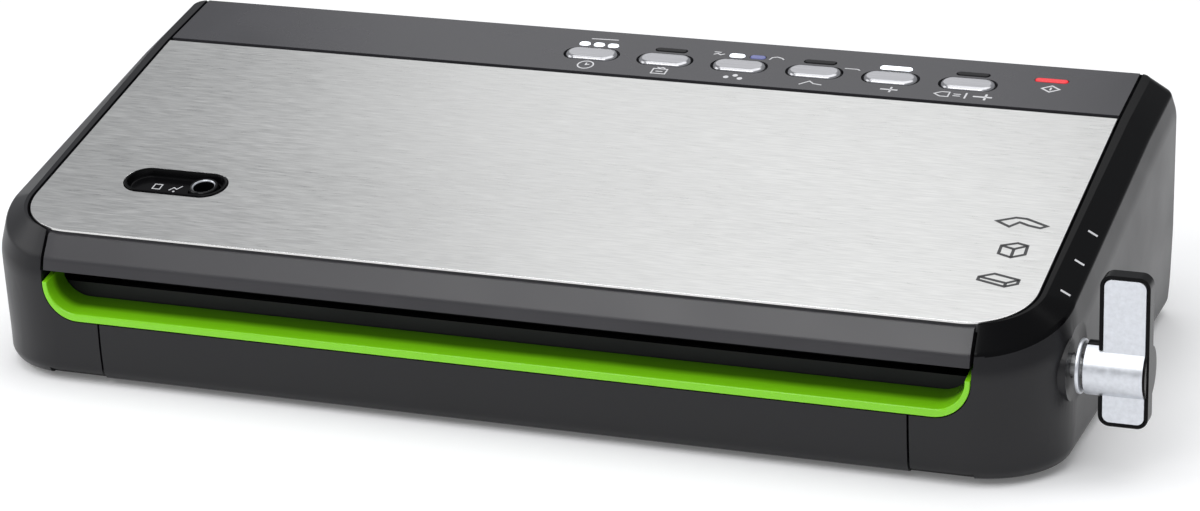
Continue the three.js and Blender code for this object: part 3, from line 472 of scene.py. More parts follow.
def plastic(name, color, roughness, grain=2600, depth=0.000012, **sockets):
    """Moulded plastic: a fine eroded grain, slow changes of sheen and a faint mottle."""
    material, principled = shader(name, color, roughness, **sockets)
    fine = noise(material, grain, 2)
    slow = noise(material, 22, 4)
    tint(material, principled, slow, shade(color, 0.88), shade(color, 1.12))
    rough(material, principled, slow, roughness * 0.88, roughness * 1.15)
    bump(material, principled, fine, 0.35, depth)
    return material


def brushed(name, color, roughness, metallic, stretch, depth):
    """Brushed or drawn metal: long fine scratches along X, and slow clouds of sheen."""
    material, principled = shader(name, color, roughness, metallic)
    scratches = noise(material, 9, 6, stretch)
    clouds = noise(material, 14, 3, (0.5, 1, 1))
    sheen = mixed(material, scratches, clouds, 0.75)
    tint(material, principled, sheen, shade(color, 0.86), shade(color, 1.1))
    rough(material, principled, sheen, roughness * 0.8, roughness * 1.25)
    bump(material, principled, scratches, 0.3, depth)
    return material


def plastic_with_painted_shade(name, color, roughness, start, end, darkest_shade):
    """Moulded plastic with painted shade: its colour darkens from one depth in the housing to another."""
    material, principled = shader(name, color, roughness)
    tree = material.node_tree
    coordinates = tree.nodes.new("ShaderNodeTexCoord")
    split = tree.nodes.new("ShaderNodeSeparateXYZ")
    tree.links.new(coordinates.outputs["Object"], split.inputs["Vector"])
    depth = tree.nodes.new("ShaderNodeMapRange")
    depth.inputs["From Min"].default_value = (TO_ROW @ Vector((0, end, 0))).y
    depth.inputs["From Max"].default_value = (TO_ROW @ Vector((0, start, 0))).y
    tree.links.new(split.outputs["Y"], depth.inputs["Value"])
    # Painted shade: mostly the depth ramp, with a little noise mixed in.
    painted_shade = mixed(material, noise(material, 60, 3), depth.outputs["Result"], 0.12)
    tint(material, principled, painted_shade, shade(color, darkest_shade), color)
    bump(material, principled, noise(material, 1200, 2), 0.35, 0.000006)
    return material


def glowing(name, color, strength):
    """A lit lens with a faintly uneven surface."""
    material, principled = shader(name, color, 0.25)
    principled.inputs["Emission Color"].default_value = (*color, 1)
    principled.inputs["Emission Strength"].default_value = strength
    rough(material, principled, noise(material, 700, 2), 0.18, 0.32)
    return material


def woven(name, color, roughness):
    """Glass-cloth tape: a fine plain weave."""
    material, principled = shader(name, color, roughness)
    tree = material.node_tree
    coordinates = tree.nodes.new("ShaderNodeTexCoord")
    height = None
    for direction in ("X", "Y"):
        wave = tree.nodes.new("ShaderNodeTexWave")
        wave.bands_direction = direction
        wave.inputs["Scale"].default_value = 420
        tree.links.new(coordinates.outputs["Object"], wave.inputs["Vector"])
        if height is None:
            height = wave.outputs["Fac"]
            continue
        product = tree.nodes.new("ShaderNodeMath")
        product.operation = "MULTIPLY"
        tree.links.new(height, product.inputs[0])
        tree.links.new(wave.outputs["Fac"], product.inputs[1])
        height = product.outputs[0]
    tint(material, principled, height, shade(color, 0.7), shade(color, 1.2))
    bump(material, principled, height, 0.5, 0.00008)
    return material


FINE = 0.000004  # bump depths, metres
shell = plastic("satin_black", (0.0085, 0.0083, 0.0098), 0.36, Specular_IOR_Level=0.32)
gloss = plastic("gloss_black", (0.004, 0.004, 0.0045), 0.14, 900, FINE, Specular_IOR_Level=0.18)
deep_black_and_bevel_shade = plastic("deep_black_and_bevel_shade", (0.003, 0.003, 0.0034), 0.2, 900, FINE, Specular_IOR_Level=0.08)
panel_grey = plastic("panel_grey", (0.048, 0.047, 0.053), 0.26, 3200, 2 * FINE, Metallic=0.25)
lid_grey = plastic("lid_grey", (0.030, 0.029, 0.0325), 0.33, 3200, 0.00001)
steel = brushed("brushed_steel", (0.70, 0.70, 0.69), 0.32, 1.0, (12, 190, 190), 0.000012)
steel_edge = brushed("polished_edge", (0.95, 0.95, 0.94), 0.16, 1.0, (3, 420, 420), 0.000005)
silver = brushed("silver_paint", (0.66, 0.68, 0.72), 0.34, 0.75, (60, 60, 60), 0.000006)
button_silver = brushed("button_silver", (0.46, 0.46, 0.48), 0.22, 0.9, (4, 160, 160), FINE)
green = plastic("lime_green", (0.195, 0.60, 0.006), 0.24, 1200, 0.000006)
# Painted shade: the bag shelf's green darkens towards the back, standing in for the lid's shadow over the
# slot.
shelf_green_painted_shade = plastic_with_painted_shade("shelf_green_painted_shade", (0.21, 0.62, 0.008), 0.24, 2.5, 9.5, 0.28)
inner_black = plastic("inner_black", (0.006, 0.006, 0.0068), 0.48, 1800, 0.00002, Specular_IOR_Level=0.25)
rubber = plastic("black_rubber", (0.012, 0.012, 0.0125), 0.78, 1500, 0.00003)
foam = plastic("seal_foam", (0.018, 0.018, 0.02), 0.92, 1100, 0.00012)
tape = woven("heater_tape", (0.26, 0.14, 0.06), 0.5)
board_green = plastic("circuit_board", (0.012, 0.10, 0.04), 0.4, 500, 0.00003)
copper = plastic("copper_winding", (0.42, 0.16, 0.06), 0.4, 1400, 0.00012, Metallic=0.6)
zinc = brushed("zinc_plate", (0.52, 0.53, 0.54), 0.34, 1.0, (40, 90, 90), 0.00001)
clear = plastic("clear_plastic", (0.75, 0.8, 0.85), 0.15, 400, FINE)
ink_white = plastic("ink_white", (0.62, 0.62, 0.64), 0.5, 2200, FINE)
ink_dark = plastic("ink_dark", (0.035, 0.035, 0.037), 0.5, 2200, FINE)
smoked = plastic("smoked_lens", (0.002, 0.002, 0.003), 0.12, 500, FINE / 2, Specular_IOR_Level=0.1)
lit_white = glowing("lit_white", (0.9, 0.94, 1.0), 1.5)
lit_blue = glowing("lit_blue", (0.09, 0.10, 0.24), 0.5)
lit_red = glowing("lit_red", (0.55, 0.012, 0.02), 0.6)


# ---------------------------------------------------------------- finishing a piece
def smooth_modifiers(obj, bevel, segments=2, edge_material=-1):
    if bevel:
        rounding = obj.modifiers.new("rounding", "BEVEL")
        rounding.width = bevel * MM
        rounding.segments = segments
        rounding.limit_method = "ANGLE"
        rounding.angle_limit = math.radians(32)
        rounding.use_clamp_overlap = True
        rounding.material = edge_material
    normals = obj.modifiers.new("normals", "WEIGHTED_NORMAL")
    normals.keep_sharp = True


def tidy_mesh(obj):
    """Welds stray vertices and joins faces that lie in one plane."""
    bm = bmesh.new()
    bm.from_mesh(obj.data)
    bmesh.ops.remove_doubles(bm, verts=bm.verts, dist=WELD)
    bmesh.ops.dissolve_limit(
        bm, angle_limit=math.radians(0.4), verts=bm.verts, edges=bm.edges, use_dissolve_boundaries=False
    )
    bm.to_mesh(obj.data)
    bm.free()


def finish_piece(obj, name, body, materials, nodes=(), bevel=BEVEL, segments=2, edge_material=-1):
    """Names a mesh built in millimetres, moves it to the row frame and hands it to its body."""
    tidy_mesh(obj)
    obj.name = name
    obj.data.name = name
    obj.data.transform(TO_ROW)
    indices = [p.material_index for p in obj.data.polygons]
    obj.data.materials.clear()
    for material in materials:
        obj.data.materials.append(material)
    for polygon, index in zip(obj.data.polygons, indices):
        polygon.material_index = min(index, len(materials) - 1)
        polygon.use_smooth = True
    smooth_modifiers(obj, bevel, segments, edge_material)
    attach(obj, body)
    if nodes:
        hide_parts(*nodes)
    return obj


def paint_faces(obj, index, test):
    """Gives the faces that pass the test, by centre and normal in millimetres, another material."""
    for polygon in obj.data.polygons:
        if test(polygon.center, polygon.normal):
            polygon.material_index = index


# ---------------------------------------------------------------- housing
def pan_floor(grow, z0, z1):
    """The base's flat floor, seen from above as a rounded rectangle."""
    half = HALF_WIDTH - 7 + grow
    return prism(rounded_rect(-half, half, 6.5 - grow, DEPTH - 6.5 + grow, 25 + grow, 16), "z", z0, z1)


def on_bevel(centre, normal):
    """Whether a face lies on the housing's sloped shoulder, just below the roof line; on the right end these
    faces take the painted shade.
    """
    drop = roof_z(centre.y) - centre.z
    return drop < 8.6 and normal.z > 0.25 and abs(centre.x) > CHEEK_X - 1


def make_base():
    """The flat floor with its front wall between the two end shells."""
    end = SEAM_X - SEAM_WIDTH
    wall = common(copy_of(OUTER), block(-end, end, -PAST, FRONT_WALL_REACH, 0, SHELF_Z - GAP))
    hollow = common(copy_of(INNER), block(-SEAM_X, SEAM_X, -PAST, FRONT_WALL_REACH, PAN_TOP_Z, 60))
    body = join(pan_floor(0, BASE_Z, PAN_TOP_Z), cut(wall, hollow))
    wells = [rod(5.5, "z", 0, 3.4, spot) for spot in SCREW_SPOTS]
    finish_piece(cut(body, *wells), "base_shell", "base", [shell], ["base_pan"])


def make_screws():
    """Pan-head screws with a cross recess, seen in wells in the underside."""
    for number, (x, y) in enumerate(SCREW_SPOTS, 1):
        levels = ((3.6, 3.39), (3.7, 2.9), (3.2, 2.5), (2.0, 2.35))
        head = stitched("screw", [ring_points(r, "z", z, (x, y), 32) for r, z in levels])
        cross = [block(x - a, x + a, y - b, y + b, 2, 3.1) for a, b in ((1.8, 0.4), (0.4, 1.8))]
        finish_piece(cut(head, *cross), f"screw_{number}", "base", [zinc], bevel=0)


def make_end_cap(side):
    """One end of the housing: 1 is the right end, with the lever's dished seat, -1 the left."""
    reach = HALF_WIDTH + 10
    cheek_outer = CHEEK_X + CHEEK_THICK
    lever_seat = (LEVER_Y, LEVER_Z)
    body = common(copy_of(OUTER), block(SEAM_X, reach, -PAST, DEPTH + PAST, 0, TALL))
    chamber = common(
        copy_of(INNER),
        block(cheek_outer, reach, -PAST, DEPTH + PAST, 3, TALL),
        roof_slab(LEDGE_DROP + 2, TALL, -PAST, DEPTH + PAST, reach),
    )
    well = common(
        prism(skin_outline(SKIN_GAP, PANEL_BACK_Y + 0.5), "z", 0, TALL),
        roof_slab(-30, LEDGE_DROP, -PAST, DEPTH + PAST, reach),
    )
    body = cut(
        body,
        chamber,
        block(SEAM_X - 1, CHEEK_X, WALL, DEPTH + PAST, -PAST, TALL),
        block(SEAM_X - 1, CHEEK_X, -PAST, DEPTH + PAST, LID_RIM_Z - GAP, TALL),
        well,
        prism(slot_outline(GAP, GAP, 70), "y", -PAST, WALL + SHELF_DEPTH),
        pan_floor(GAP, -1, PAN_TOP_Z + GAP),
        rod(3.5, "x", CHEEK_X - 1, cheek_outer + 1, (54, 14)),
    )
    if side > 0:
        body = join(body, rod(12.5, "x", 195, HALF_WIDTH - 1.2, lever_seat))
        levels = ((10.3, 203.5), (11.4, 203.7), (13.2, 204.1), (15.0, 204.7), (17.5, 205.8))
        dish = stitched("tool", [ring_points(r, "x", x, lever_seat, 64) for r, x in levels])
        body = cut(body, dish, rod(4.4, "x", 190, reach, lever_seat))
        # Painted shade: the right shoulder's sloped faces get the deeper black, standing in for the dark
        # reflection on that bevel; the left end keeps the plain satin black.
        paint_faces(body, 1, on_bevel)
    else:
        mirrored(body)
    word = "right" if side > 0 else "left"
    finish_piece(body, f"end_shell_{word}", "base", [shell, deep_black_and_bevel_shade], [f"end_cap_{word}"])


def upright_slot(cx, cz, width, height):
    """A stadium standing on end, for prisms along Y."""
    return [(cx + (b - cz), cz + (a - cx)) for a, b in stadium(cx, cz, height, width)]


def make_rear_cover():
    half = CHEEK_X - GAP
    back = DEPTH + PAST
    below_panel = roof_slab(PANEL_RIM + GAP, TALL, 0, back, HALF_WIDTH)
    body = common(copy_of(OUTER), block(-half, half, DEPTH - 12, back, 0, TALL), below_panel)
    inside = common(copy_of(INNER), block(-half - 1, half + 1, 0, back, 3, TALL))
    vents = [
        prism(upright_slot(42.5 + VENT_PITCH * i, 44, VENT_WIDTH, VENT_HEIGHT), "y", DEPTH - 10, back)
        for i in range(VENT_COUNT)
    ]
    hole = rod(6.2, "y", DEPTH - 10, back, GLAND)
    body = cut(body, inside, pan_floor(GAP, -1, PAN_TOP_Z + GAP), hole, *vents)
    finish_piece(body, "rear_shell", "base", [shell], ["rear_cover"])


def make_gland():
    """A flanged bush with four ribs that taper outwards."""
    profile = [(7.6, -8), (7.6, -3.2), (5.9, -3), (5.9, 0.4), (8.2, 0.5), (8.5, 1.0), (8.5, 3.0), (8.1, 3.6)]
    for i in range(4):
        r, h = 7.4 - 0.6 * i, 4.0 + 2.0 * i
        profile += [(r, h), (r, h + 1.1), (r - 0.9, h + 1.3), (r - 0.9, h + 1.9)]
    profile += [(5.1, 12), (3.6, 12), (3.6, -8)]
    body = lathe(profile, "y", GLAND, DEPTH - 0.4)
    finish_piece(body, "cord_gland_ribbed", "base", [rubber], ["cord_gland"], bevel=0.15)


# ---------------------------------------------------------------- control panel
# Every light: its place along the panel, its length and its material.
LENSES = [(BUTTON_X[0] + dx, 4.4, lit_white) for dx in (-5.7, 0.2, 6.0)] + [
    (BUTTON_X[1], LIGHT_LENGTH, smoked),
    (BUTTON_X[2] - 3.3, 6.2, lit_white),
    (BUTTON_X[2] + 5.0, 6.2, lit_blue),
    (BUTTON_X[3], LIGHT_LENGTH, smoked),
    (BUTTON_X[4], LIGHT_LENGTH, lit_white),
    (BUTTON_X[5], LIGHT_LENGTH, smoked),
    (WARNING_X, LIGHT_LENGTH, lit_red),
]


def panel_hole(x, y, length, width):
    return moved(prism(stadium(x, y, length, width), "z", -8, 8), PANEL_FRAME)


def make_control_panel():
    """The panel's slab, undercut in front for the lid's swing, and the rim that closes the back."""
    half = CHEEK_X - GAP
    lip_y = PANEL_FRONT_Y + PANEL_CHAMFER
    low = roof_z(PANEL_FRONT_Y) - PANEL_THICK
    edge_z = roof_z(PANEL_FRONT_Y) - PANEL_EDGE_THICK
    undercut = prism([
        (PANEL_FRONT_Y - 1, low - 1),
        (lip_y, low - 1),
        (lip_y, low),
        (PANEL_FRONT_Y, edge_z),
        (PANEL_FRONT_Y - 1, edge_z),
    ], "x", -HALF_WIDTH, HALF_WIDTH)
    slab = cut(roof_slab(0, PANEL_THICK, PANEL_FRONT_Y, PANEL_BACK_Y, PANEL_HALF), undercut)
    rim = roof_slab(0, PANEL_RIM, PANEL_BACK_Y - 6, DEPTH + PAST, half)
    inside = common(copy_of(INNER), block(-half + WALL, half - WALL, 0, DEPTH, 0, 90))
    lip = roof_slab(PANEL_THICK - 0.5, 9, lip_y, lip_y + 2, half - 2)
    body = common(join(slab, lip, cut(rim, inside)), copy_of(OUTER))
    openings = [panel_hole(x, 0, BUTTON_LENGTH + 0.9, BUTTON_WIDTH + 0.2) for x in BUTTON_X]
    openings += [panel_hole(x, LIGHT_ROW, length + 0.5, LIGHT_WIDTH + 0.5) for x, length, _ in LENSES]
    body = cut(body, *openings)
    finish_piece(body, "control_panel_shell", "base", [panel_grey], ["control_panel"])


def pill(length, width, low, high, crown, steps=6):
    """Rings of a stadium whose top edge is rounded over by the crown."""
    rings = [[(x, y, low) for x, y in stadium(0, 0, length, width)]]
    for i in range(steps + 1):
        a = math.pi / 2 * i / steps
        inset = crown * (1 - math.cos(a))
        z = high - crown * (1 - math.sin(a))
        rings.append([(x, y, z) for x, y in stadium(0, 0, length - 2 * inset, width - 2 * inset)])
    return rings


def make_buttons():
    """Crowned caps, each with a flange and a stem under the panel."""
    for number, x in enumerate(BUTTON_X, 1):
        cap = stitched("cap", pill(BUTTON_LENGTH - 0.8, BUTTON_WIDTH - 1, -PANEL_THICK - GAP, CAP_RISE, 1.7))
        flange = prism(stadium(0, 0, BUTTON_LENGTH + 3, BUTTON_WIDTH + 3), "z", -3.8, -2.8)
        stem = rod(2, "z", -4.9, -3.5, (0, 0), 24)
        body = moved(join(cap, flange, stem), PANEL_FRAME @ Matrix.Translation((x, 0, 0)))
        name = f"button_{number}"
        finish_piece(body, f"{name}_cap", name, [button_silver], [name], bevel=0.15)


def make_lenses():
    """The lights behind the buttons. The first one takes the place of the CAD's light guide."""
    for number, (x, length, material) in enumerate(LENSES, 1):
        lens = stitched("lens", pill(length, LIGHT_WIDTH, -3.6, 0.25, 0.4, 3))
        body = moved(lens, PANEL_FRAME @ Matrix.Translation((x, LIGHT_ROW, 0)))
        nodes = {1: ["light_guide"], len(LENSES): ["warning_lens"]}.get(number, [])
        finish_piece(body, f"lens_{number}", "base", [material], nodes, bevel=0)


# ---------------------------------------------------------------- bag shelf and lid
def make_shelf():
    """A U-shaped band with a flat front edge, its rear part climbing towards the heater bar."""
    edge = 0.35
    section = [(0, SHELF_DEPTH), (0, edge), (edge / SHELF_BAND, 0), (1 - edge / SHELF_BAND, 0), (1, edge)]
    section.append((1, SHELF_DEPTH))
    rings = []
    for (xo, zo), (xi, zi) in zip(slot_line(0, 0), slot_line(-SHELF_CURL, -SHELF_BAND)):
        ring = []
        for across, depth in section:
            x, z = xo + (xi - xo) * across, zo + (zi - zo) * across
            ring.append((x, depth, z + SHELF_RISE * depth))
        rings.append(ring)
    body = stitched("shelf", rings)
    finish_piece(body, "bag_shelf_curl", "base", [shelf_green_painted_shade], ["bag_shelf"], bevel=0.2)


def slot_line(grow_x, grow_z):
    """The shelf's U line from one curled-up end to the other."""
    outline = slot_outline(grow_x, grow_z, SHELF_END_Z)
    middle = len(outline) // 2
    return outline[middle:] + outline[:middle]


def lid_oval(height, grow):
    """The port's oval as a cutting tool through the lid."""
    outline = stadium(0, 0, PORT_LENGTH + 2 * grow, PORT_WIDTH + 2 * grow, 16)
    return moved(prism(outline, "z", -height, height), PORT_FRAME)


def make_lid_frame():
    """The lid's dark frame: a bed for the steel skin, a groove before it and the hinge barrel."""
    end = LID_HALF - LID_END_SHADOW
    front = common(copy_of(OUTER), block(-end, end, -PAST, HINGE_Y - 3, LID_RIM_Z, TALL))
    wings = common(prism(skin_outline(-0.3, HINGE_Y - 3), "z", 0, TALL), roof_slab(0, 4, 0, HINGE_Y, 200))
    barrel = rod(BARREL_R, "x", -LID_HALF, LID_HALF, (HINGE_Y, HINGE_Z))
    web = prism([
        (HINGE_Y - 6, HINGE_Z - 1),
        (HINGE_Y, HINGE_Z - 1),
        (HINGE_Y, HINGE_Z + 2.9),
        (HINGE_Y - 6, roof_z(HINGE_Y - 6) - SKIN_STEP),
    ], "x", -LID_HALF, LID_HALF)
    bed = common(
        prism(skin_outline(0.4, HINGE_Y + 10), "z", 0, TALL),
        roof_slab(-30, SKIN_STEP, -PAST, HINGE_Y + 10, 200),
    )
    hollow = common(
        copy_of(INNER),
        block(-LID_HALF + WALL, LID_HALF - WALL, 0, HINGE_Y - 3 - WALL, 0, TALL),
        roof_slab(SKIN_STEP + WALL, 90, -PAST, HINGE_Y, 200),
    )
    notches = [block(x - 2.3, x + 2.3, HINGE_Y - 8, HINGE_Y + 8, 60, 100) for x in (-178, 178)]
    pins = [rod(PIN_HOLE_R, "x", x, x + 15, (HINGE_Y, HINGE_Z)) for x in (-178, 163)]
    groove = common(
        cut(prism(skin_outline(3, 60), "z", 0, TALL), prism(skin_outline(-0.3, 70), "z", -1, TALL + 1)),
        roof_slab(-30, SKIN_GROOVE, -PAST, 30, LID_HALF + 1),
    )
    body = cut(join(front, wings, barrel, web), bed, hollow, groove, *notches, *pins, lid_oval(20, 0.4))
    finish_piece(body, "lid_shell", "lid", [lid_grey], ["lid_frame"])


def make_lid_skin():
    sheet = roof_slab(0, SKIN_THICK, 0, SKIN_BACK_Y + 5, 200)
    plate = cut(common(prism(skin_outline(0, SKIN_BACK_Y), "z", 0, TALL), sheet), lid_oval(20, 0.4))
    finish_piece(plate, "lid_plate", "lid", [steel, steel_edge], ["lid_skin"], 0.6, 3, 1)


def port_rings(levels):
    """Rings of the port's oval, each set in by an amount at a height."""
    return [
        [(x, y, z) for x, y in stadium(0, 0, PORT_LENGTH - 2 * inset, PORT_WIDTH - 2 * inset, 16)]
        for inset, z in levels
    ]


def make_port():
    """An oval recess, and in its right half a tube with three air holes in its floor."""
    cup = stitched("cup", port_rings(((0, -4.4), (0, 0.1), (0.2, 0.4), (0.6, 0.5))))
    levels = (2.6, -2.6), (2.0, -2.4), (1.7, -1.9), (1.2, 0.0), (0.8, 0.8)
    recess = stitched("recess", port_rings(levels))
    hole = rod(PORT_TUBE_R + GAP, "z", -10, 5, (PORT_HOLE_X, 0))
    body = moved(cut(cup, recess, hole), PORT_FRAME)
    finish_piece(body, "port_recess", "lid", [deep_black_and_bevel_shade], ["port_bezel"], bevel=0.12)
    outer_r = PORT_TUBE_R - 0.4
    low, high = PORT_FLOOR_Z, PORT_FLOOR_Z + PORT_FLOOR_THICK
    profile = [(0, low), (outer_r, low), (outer_r, -1.0), (outer_r - 0.2, -0.5), (5.1, -0.2), (4.4, -0.3)]
    profile += [(4.0, -0.8), (3.9, -1.5), (3.9, high), (0, high)]
    holes = [
        rod(0.5, "z", low - 1, high + 1, (PORT_HOLE_X + 2.2 * math.cos(a), 2.2 * math.sin(a)), 16)
        for a in (math.pi / 2, math.pi * 7 / 6, math.pi * 11 / 6)
    ]
    tube = cut(lathe(profile, "z", (PORT_HOLE_X, 0)), *holes)
    # Painted highlight: the tube's inner lip is silver, standing in for the bright glint ring on its gloss
    # black rim.
    paint_faces(tube, 1, lambda c, n: c.z > -0.75 and math.hypot(c.x - PORT_HOLE_X, c.y) < 4.7)
    moved(tube, PORT_FRAME)
    finish_piece(tube, "accessory_port_tube", "lid", [gloss, silver], ["accessory_port"], bevel=0.1)


# ---------------------------------------------------------------- lever
def lever_grip(grow=0.0):
    """The silver front of the lever: a plate and the front half of the hub."""
    inner_x, low, high = LEVER_INNER_X + LEVER_RIM, LEVER_BOTTOM + LEVER_RIM, LEVER_TOP - LEVER_RIM
    face = rounded_rect(inner_x - grow, LEVER_GRIP_X + grow, low - grow, high + grow, 2.6)
    plate = prism(face, "y", -5.2 - grow, -3.4 + grow)
    hub = rod(LEVER_HUB_R + grow, "x", LEVER_HUB_X - grow, LEVER_GRIP_X + grow, (0, 0), 72)
    back_half = block(LEVER_HUB_X - 5, LEVER_GRIP_X + 5, LEVER_SPLIT_Y + grow, 20, -20, 20)
    return join(plate, cut(hub, back_half))


def make_lever():
    grip = moved(lever_grip(), LEVER_FRAME)
    finish_piece(grip, "lever_silver", "lever", [silver], ["lever_handle"], 0.7, 4)
    outline = rounded_rect(LEVER_INNER_X, LEVER_REACH, LEVER_BOTTOM, LEVER_TOP, 4, 14)
    paddle = prism(outline, "y", -5, 1.2)
    hub = rod(LEVER_HUB_R, "x", LEVER_HUB_X, LEVER_REACH - 0.5, (0, 0), 72)
    back = moved(cut(join(paddle, hub), lever_grip(GAP)), LEVER_FRAME)
    finish_piece(back, "lever_shell", "lever", [deep_black_and_bevel_shade], ["lever_back"], 0.8, 4)
    profile = [(7.8, 0), (9.3, 0), (9.6, 0.3), (9.6, 1.0), (9.4, 1.4), (9.0, 1.6), (7.8, 1.6)]
    ring = lathe(profile, "x", (LEVER_Y, LEVER_Z), HALF_WIDTH + 0.9)
    finish_piece(ring, "lever_ring", "base", [silver], ["lever_collar"], bevel=0.1)


# ---------------------------------------------------------------- printed marks
INK_HEIGHT = 0.05
INK_SINK = 0.02  # how far a mark reaches into its surface


def ribbon(points, width, height=INK_HEIGHT, closed=False):
    """A flat printed line of constant width through points on the z = 0 plane."""
    count = len(points)
    left, right = [], []
    for i, here in enumerate(points):
        here = Vector(here)
        before = Vector(points[i - 1]) if closed or i else None
        after = Vector(points[(i + 1) % count]) if closed or i < count - 1 else None
        a = (here - before).normalized() if before is not None else (after - here).normalized()
        b = (after - here).normalized() if after is not None else a
        normal_a, normal_b = Vector((-a.y, a.x)), Vector((-b.y, b.x))
        mitre = (normal_a + normal_b).normalized()
        offset = mitre * (width / 2 / max(mitre.dot(normal_a), 0.4))
        left.append(here + offset)
        right.append(here - offset)
    rings = [
        [(a.x, a.y, -INK_SINK), (a.x, a.y, height), (b.x, b.y, height), (b.x, b.y, -INK_SINK)]
        for a, b in zip(left, right)
    ]
    return stitched("mark", rings, closed)


def disc(cx, cy, radius):
    return rod(radius, "z", -INK_SINK, INK_HEIGHT, (cx, cy), 24)


def join_meshes(objects, matrix=Matrix.Identity(4)):
    bm = bmesh.new()
    for obj in objects:
        bm.from_mesh(obj.data)
        mesh = obj.data
        bpy.data.objects.remove(obj)
        bpy.data.meshes.remove(mesh)
    joined = new_object("marks", bm)
    return moved(joined, matrix)


def sign(points, x, y, closed=False, size=1.4, line=0.55):
    """One printed stroke of a sign: points in sign units about (x, y)."""
    return ribbon([(x + size * px, y + size * py) for px, py in points], line, closed=closed)


def make_panel_marks():
    """Generic signs: a clock, a box, drops, a chevron, a cross, a tag with a cross, a diamond, strokes."""
    y = -9.3
    x = [value + shift for value, shift in zip(BUTTON_X, (0.8, 1.0, 0.9, 1.4, 2.0, 1.6))]
    dial = arc(0, 0, 2.2, 0, 4, 24)[:-1]
    diamond = [(-2.4, 0), (0, 1.8), (2.4, 0), (0, -1.8)]
    marks = [
        sign(dial, x[0], y, closed=True),
        sign([(0, 1.2), (0, 0), (1.0, 0.4)], x[0], y),
        sign([(-2, -1.7), (2, -1.7), (2, 1.1), (-2, 1.1)], x[1], y, closed=True),
        sign([(-1.2, 2.0), (-0.4, 1.5), (0.4, 2.0), (1.2, 1.5)], x[1], y),
        sign([(-1, -0.4), (1, -0.4)], x[1], y),
        sign([(-3.0, -1.2), (-0.6, 1.1), (0.8, -0.2), (3.2, -0.6)], x[3], y),
        sign([(-2.4, 0), (2.4, 0)], x[4], y, line=0.8),
        sign([(0, -1.5), (0, 1.5)], x[4] + 0.6, y, line=0.8),
        sign([(-8.6, 0), (-6.8, 1.3), (-4.6, 1.3), (-4.6, -1.3), (-6.8, -1.3)], x[5], y, closed=True),
        sign([(-3.4, 0.5), (-1.4, 0.5)], x[5], y),
        sign([(-3.4, -0.5), (-1.4, -0.5)], x[5], y),
        sign([(0, -1.6), (0, 1.6)], x[5], y, line=0.7),
        sign([(2.0, 0), (7.2, 0)], x[5], y, line=0.9),
        sign([(5.4, -1.7), (5.4, 1.7)], x[5], y, line=0.9),
        sign(diamond, WARNING_X + 1.2, 1.6, closed=True, line=0.7),
        sign([(0, -0.8), (0, 0.8)], WARNING_X + 1.2, 1.6, line=0.7),
        sign([(-3.2, 3.2), (0.6, 3.4), (4.6, 3.5)], x[0] - 0.8, LIGHT_ROW, line=0.6),
        sign([(-2, -0.9), (-1.5, 0.5), (-0.2, 1), (1.2, 0.5), (2, -0.3)], x[2] + 11.8, LIGHT_ROW),
        sign([(-2.2, 0), (1.4, 0), (2.2, -0.6)], x[4] - 18.2, LIGHT_ROW - 3.4),
        sign([(-1.6, -0.3), (-0.6, 0.4), (0.4, -0.3), (1.4, 0.4)], x[2] - 11.4, LIGHT_ROW),
        sign([(-2.8, 0.5), (-0.8, 0.5)], x[2] - 10.0, LIGHT_ROW + 1.0),
    ]
    marks += [disc(x[2] + dx, y + dy, 1.05) for dx, dy in ((-3.0, -0.6), (0.2, 1.2), (2.6, -1.0))]
    finish_piece(join_meshes(marks, PANEL_FRAME), "panel_marks", "base", [ink_white], bevel=0)


def make_lid_marks():
    """Generic outlines on the steel, a slab, a block and a bent strip, and two signs in the port."""
    slab = [(-7.2, 0.9), (-2.4, 3.6), (6.8, 1.1), (6.8, -1.4), (2.8, -3.8), (-7.2, -1.0)]
    slab_edges = [[(-7.2, 0.9), (2.8, -1.5), (6.8, 1.1)], [(2.8, -1.5), (2.8, -3.8)]]
    cube = [(-4.6, 2.2), (0.6, 4.6), (4.4, 3.4), (4.8, -2.2), (0.4, -4.8), (-4.4, -3.0)]
    cube_edges = [[(-4.6, 2.2), (0.2, 0.6), (4.4, 3.4)], [(0.2, 0.6), (0.4, -4.8)]]
    strip = [(-9, 0.6), (-3, 3.8), (1, 3.6), (9, 0), (7, -1.6), (2.6, -0.6), (-1, 1), (-4, -2.4)]
    marks = []
    places = ((176.1, 35.0), (176.1, 54.0), (175.0, 70.6))
    for (x, y), outline, edges in zip(places, (slab, cube, strip), (slab_edges, cube_edges, [])):
        centre = PORT_FRAME.inverted() @ Vector((x, y, roof_z(y)))
        marks.append(sign(outline, centre.x, centre.y, True, 1, 1.15))
        marks += [sign(edge, centre.x, centre.y, False, 1, 1.15) for edge in edges]
    finish_piece(join_meshes(marks, PORT_FRAME), "lid_marks", "lid", [ink_dark], bevel=0)
    port = [
        ribbon([(-9.5, -1.6), (-6.5, -1.6), (-6.5, 1.6), (-9.5, 1.6)], 0.4, closed=True),
        ribbon([(-2.6, -1.8), (-1.2, 0.4), (0.2, -0.6), (1.6, 1.8)], 0.4),
        disc(-0.4, -2.2, 0.5),
    ]
    floor = PORT_FRAME @ Matrix.Translation((0, 0, -2.58))
    finish_piece(join_meshes(port, floor), "port_marks", "lid", [ink_white], bevel=0)


def shoulder(y, share):
    """A point on the right shoulder: share 0 is its upper edge on the roof line, 1 is the crease."""
    upper = Vector((HALF_WIDTH - SHOULDER_INSET + SHOULDER_FLARE * y / DEPTH, y, roof_z(y)))
    lower = Vector((HALF_WIDTH - CREASE_INSET, y, roof_z(y) - crease_drop(y)))
    return upper.lerp(lower, share)


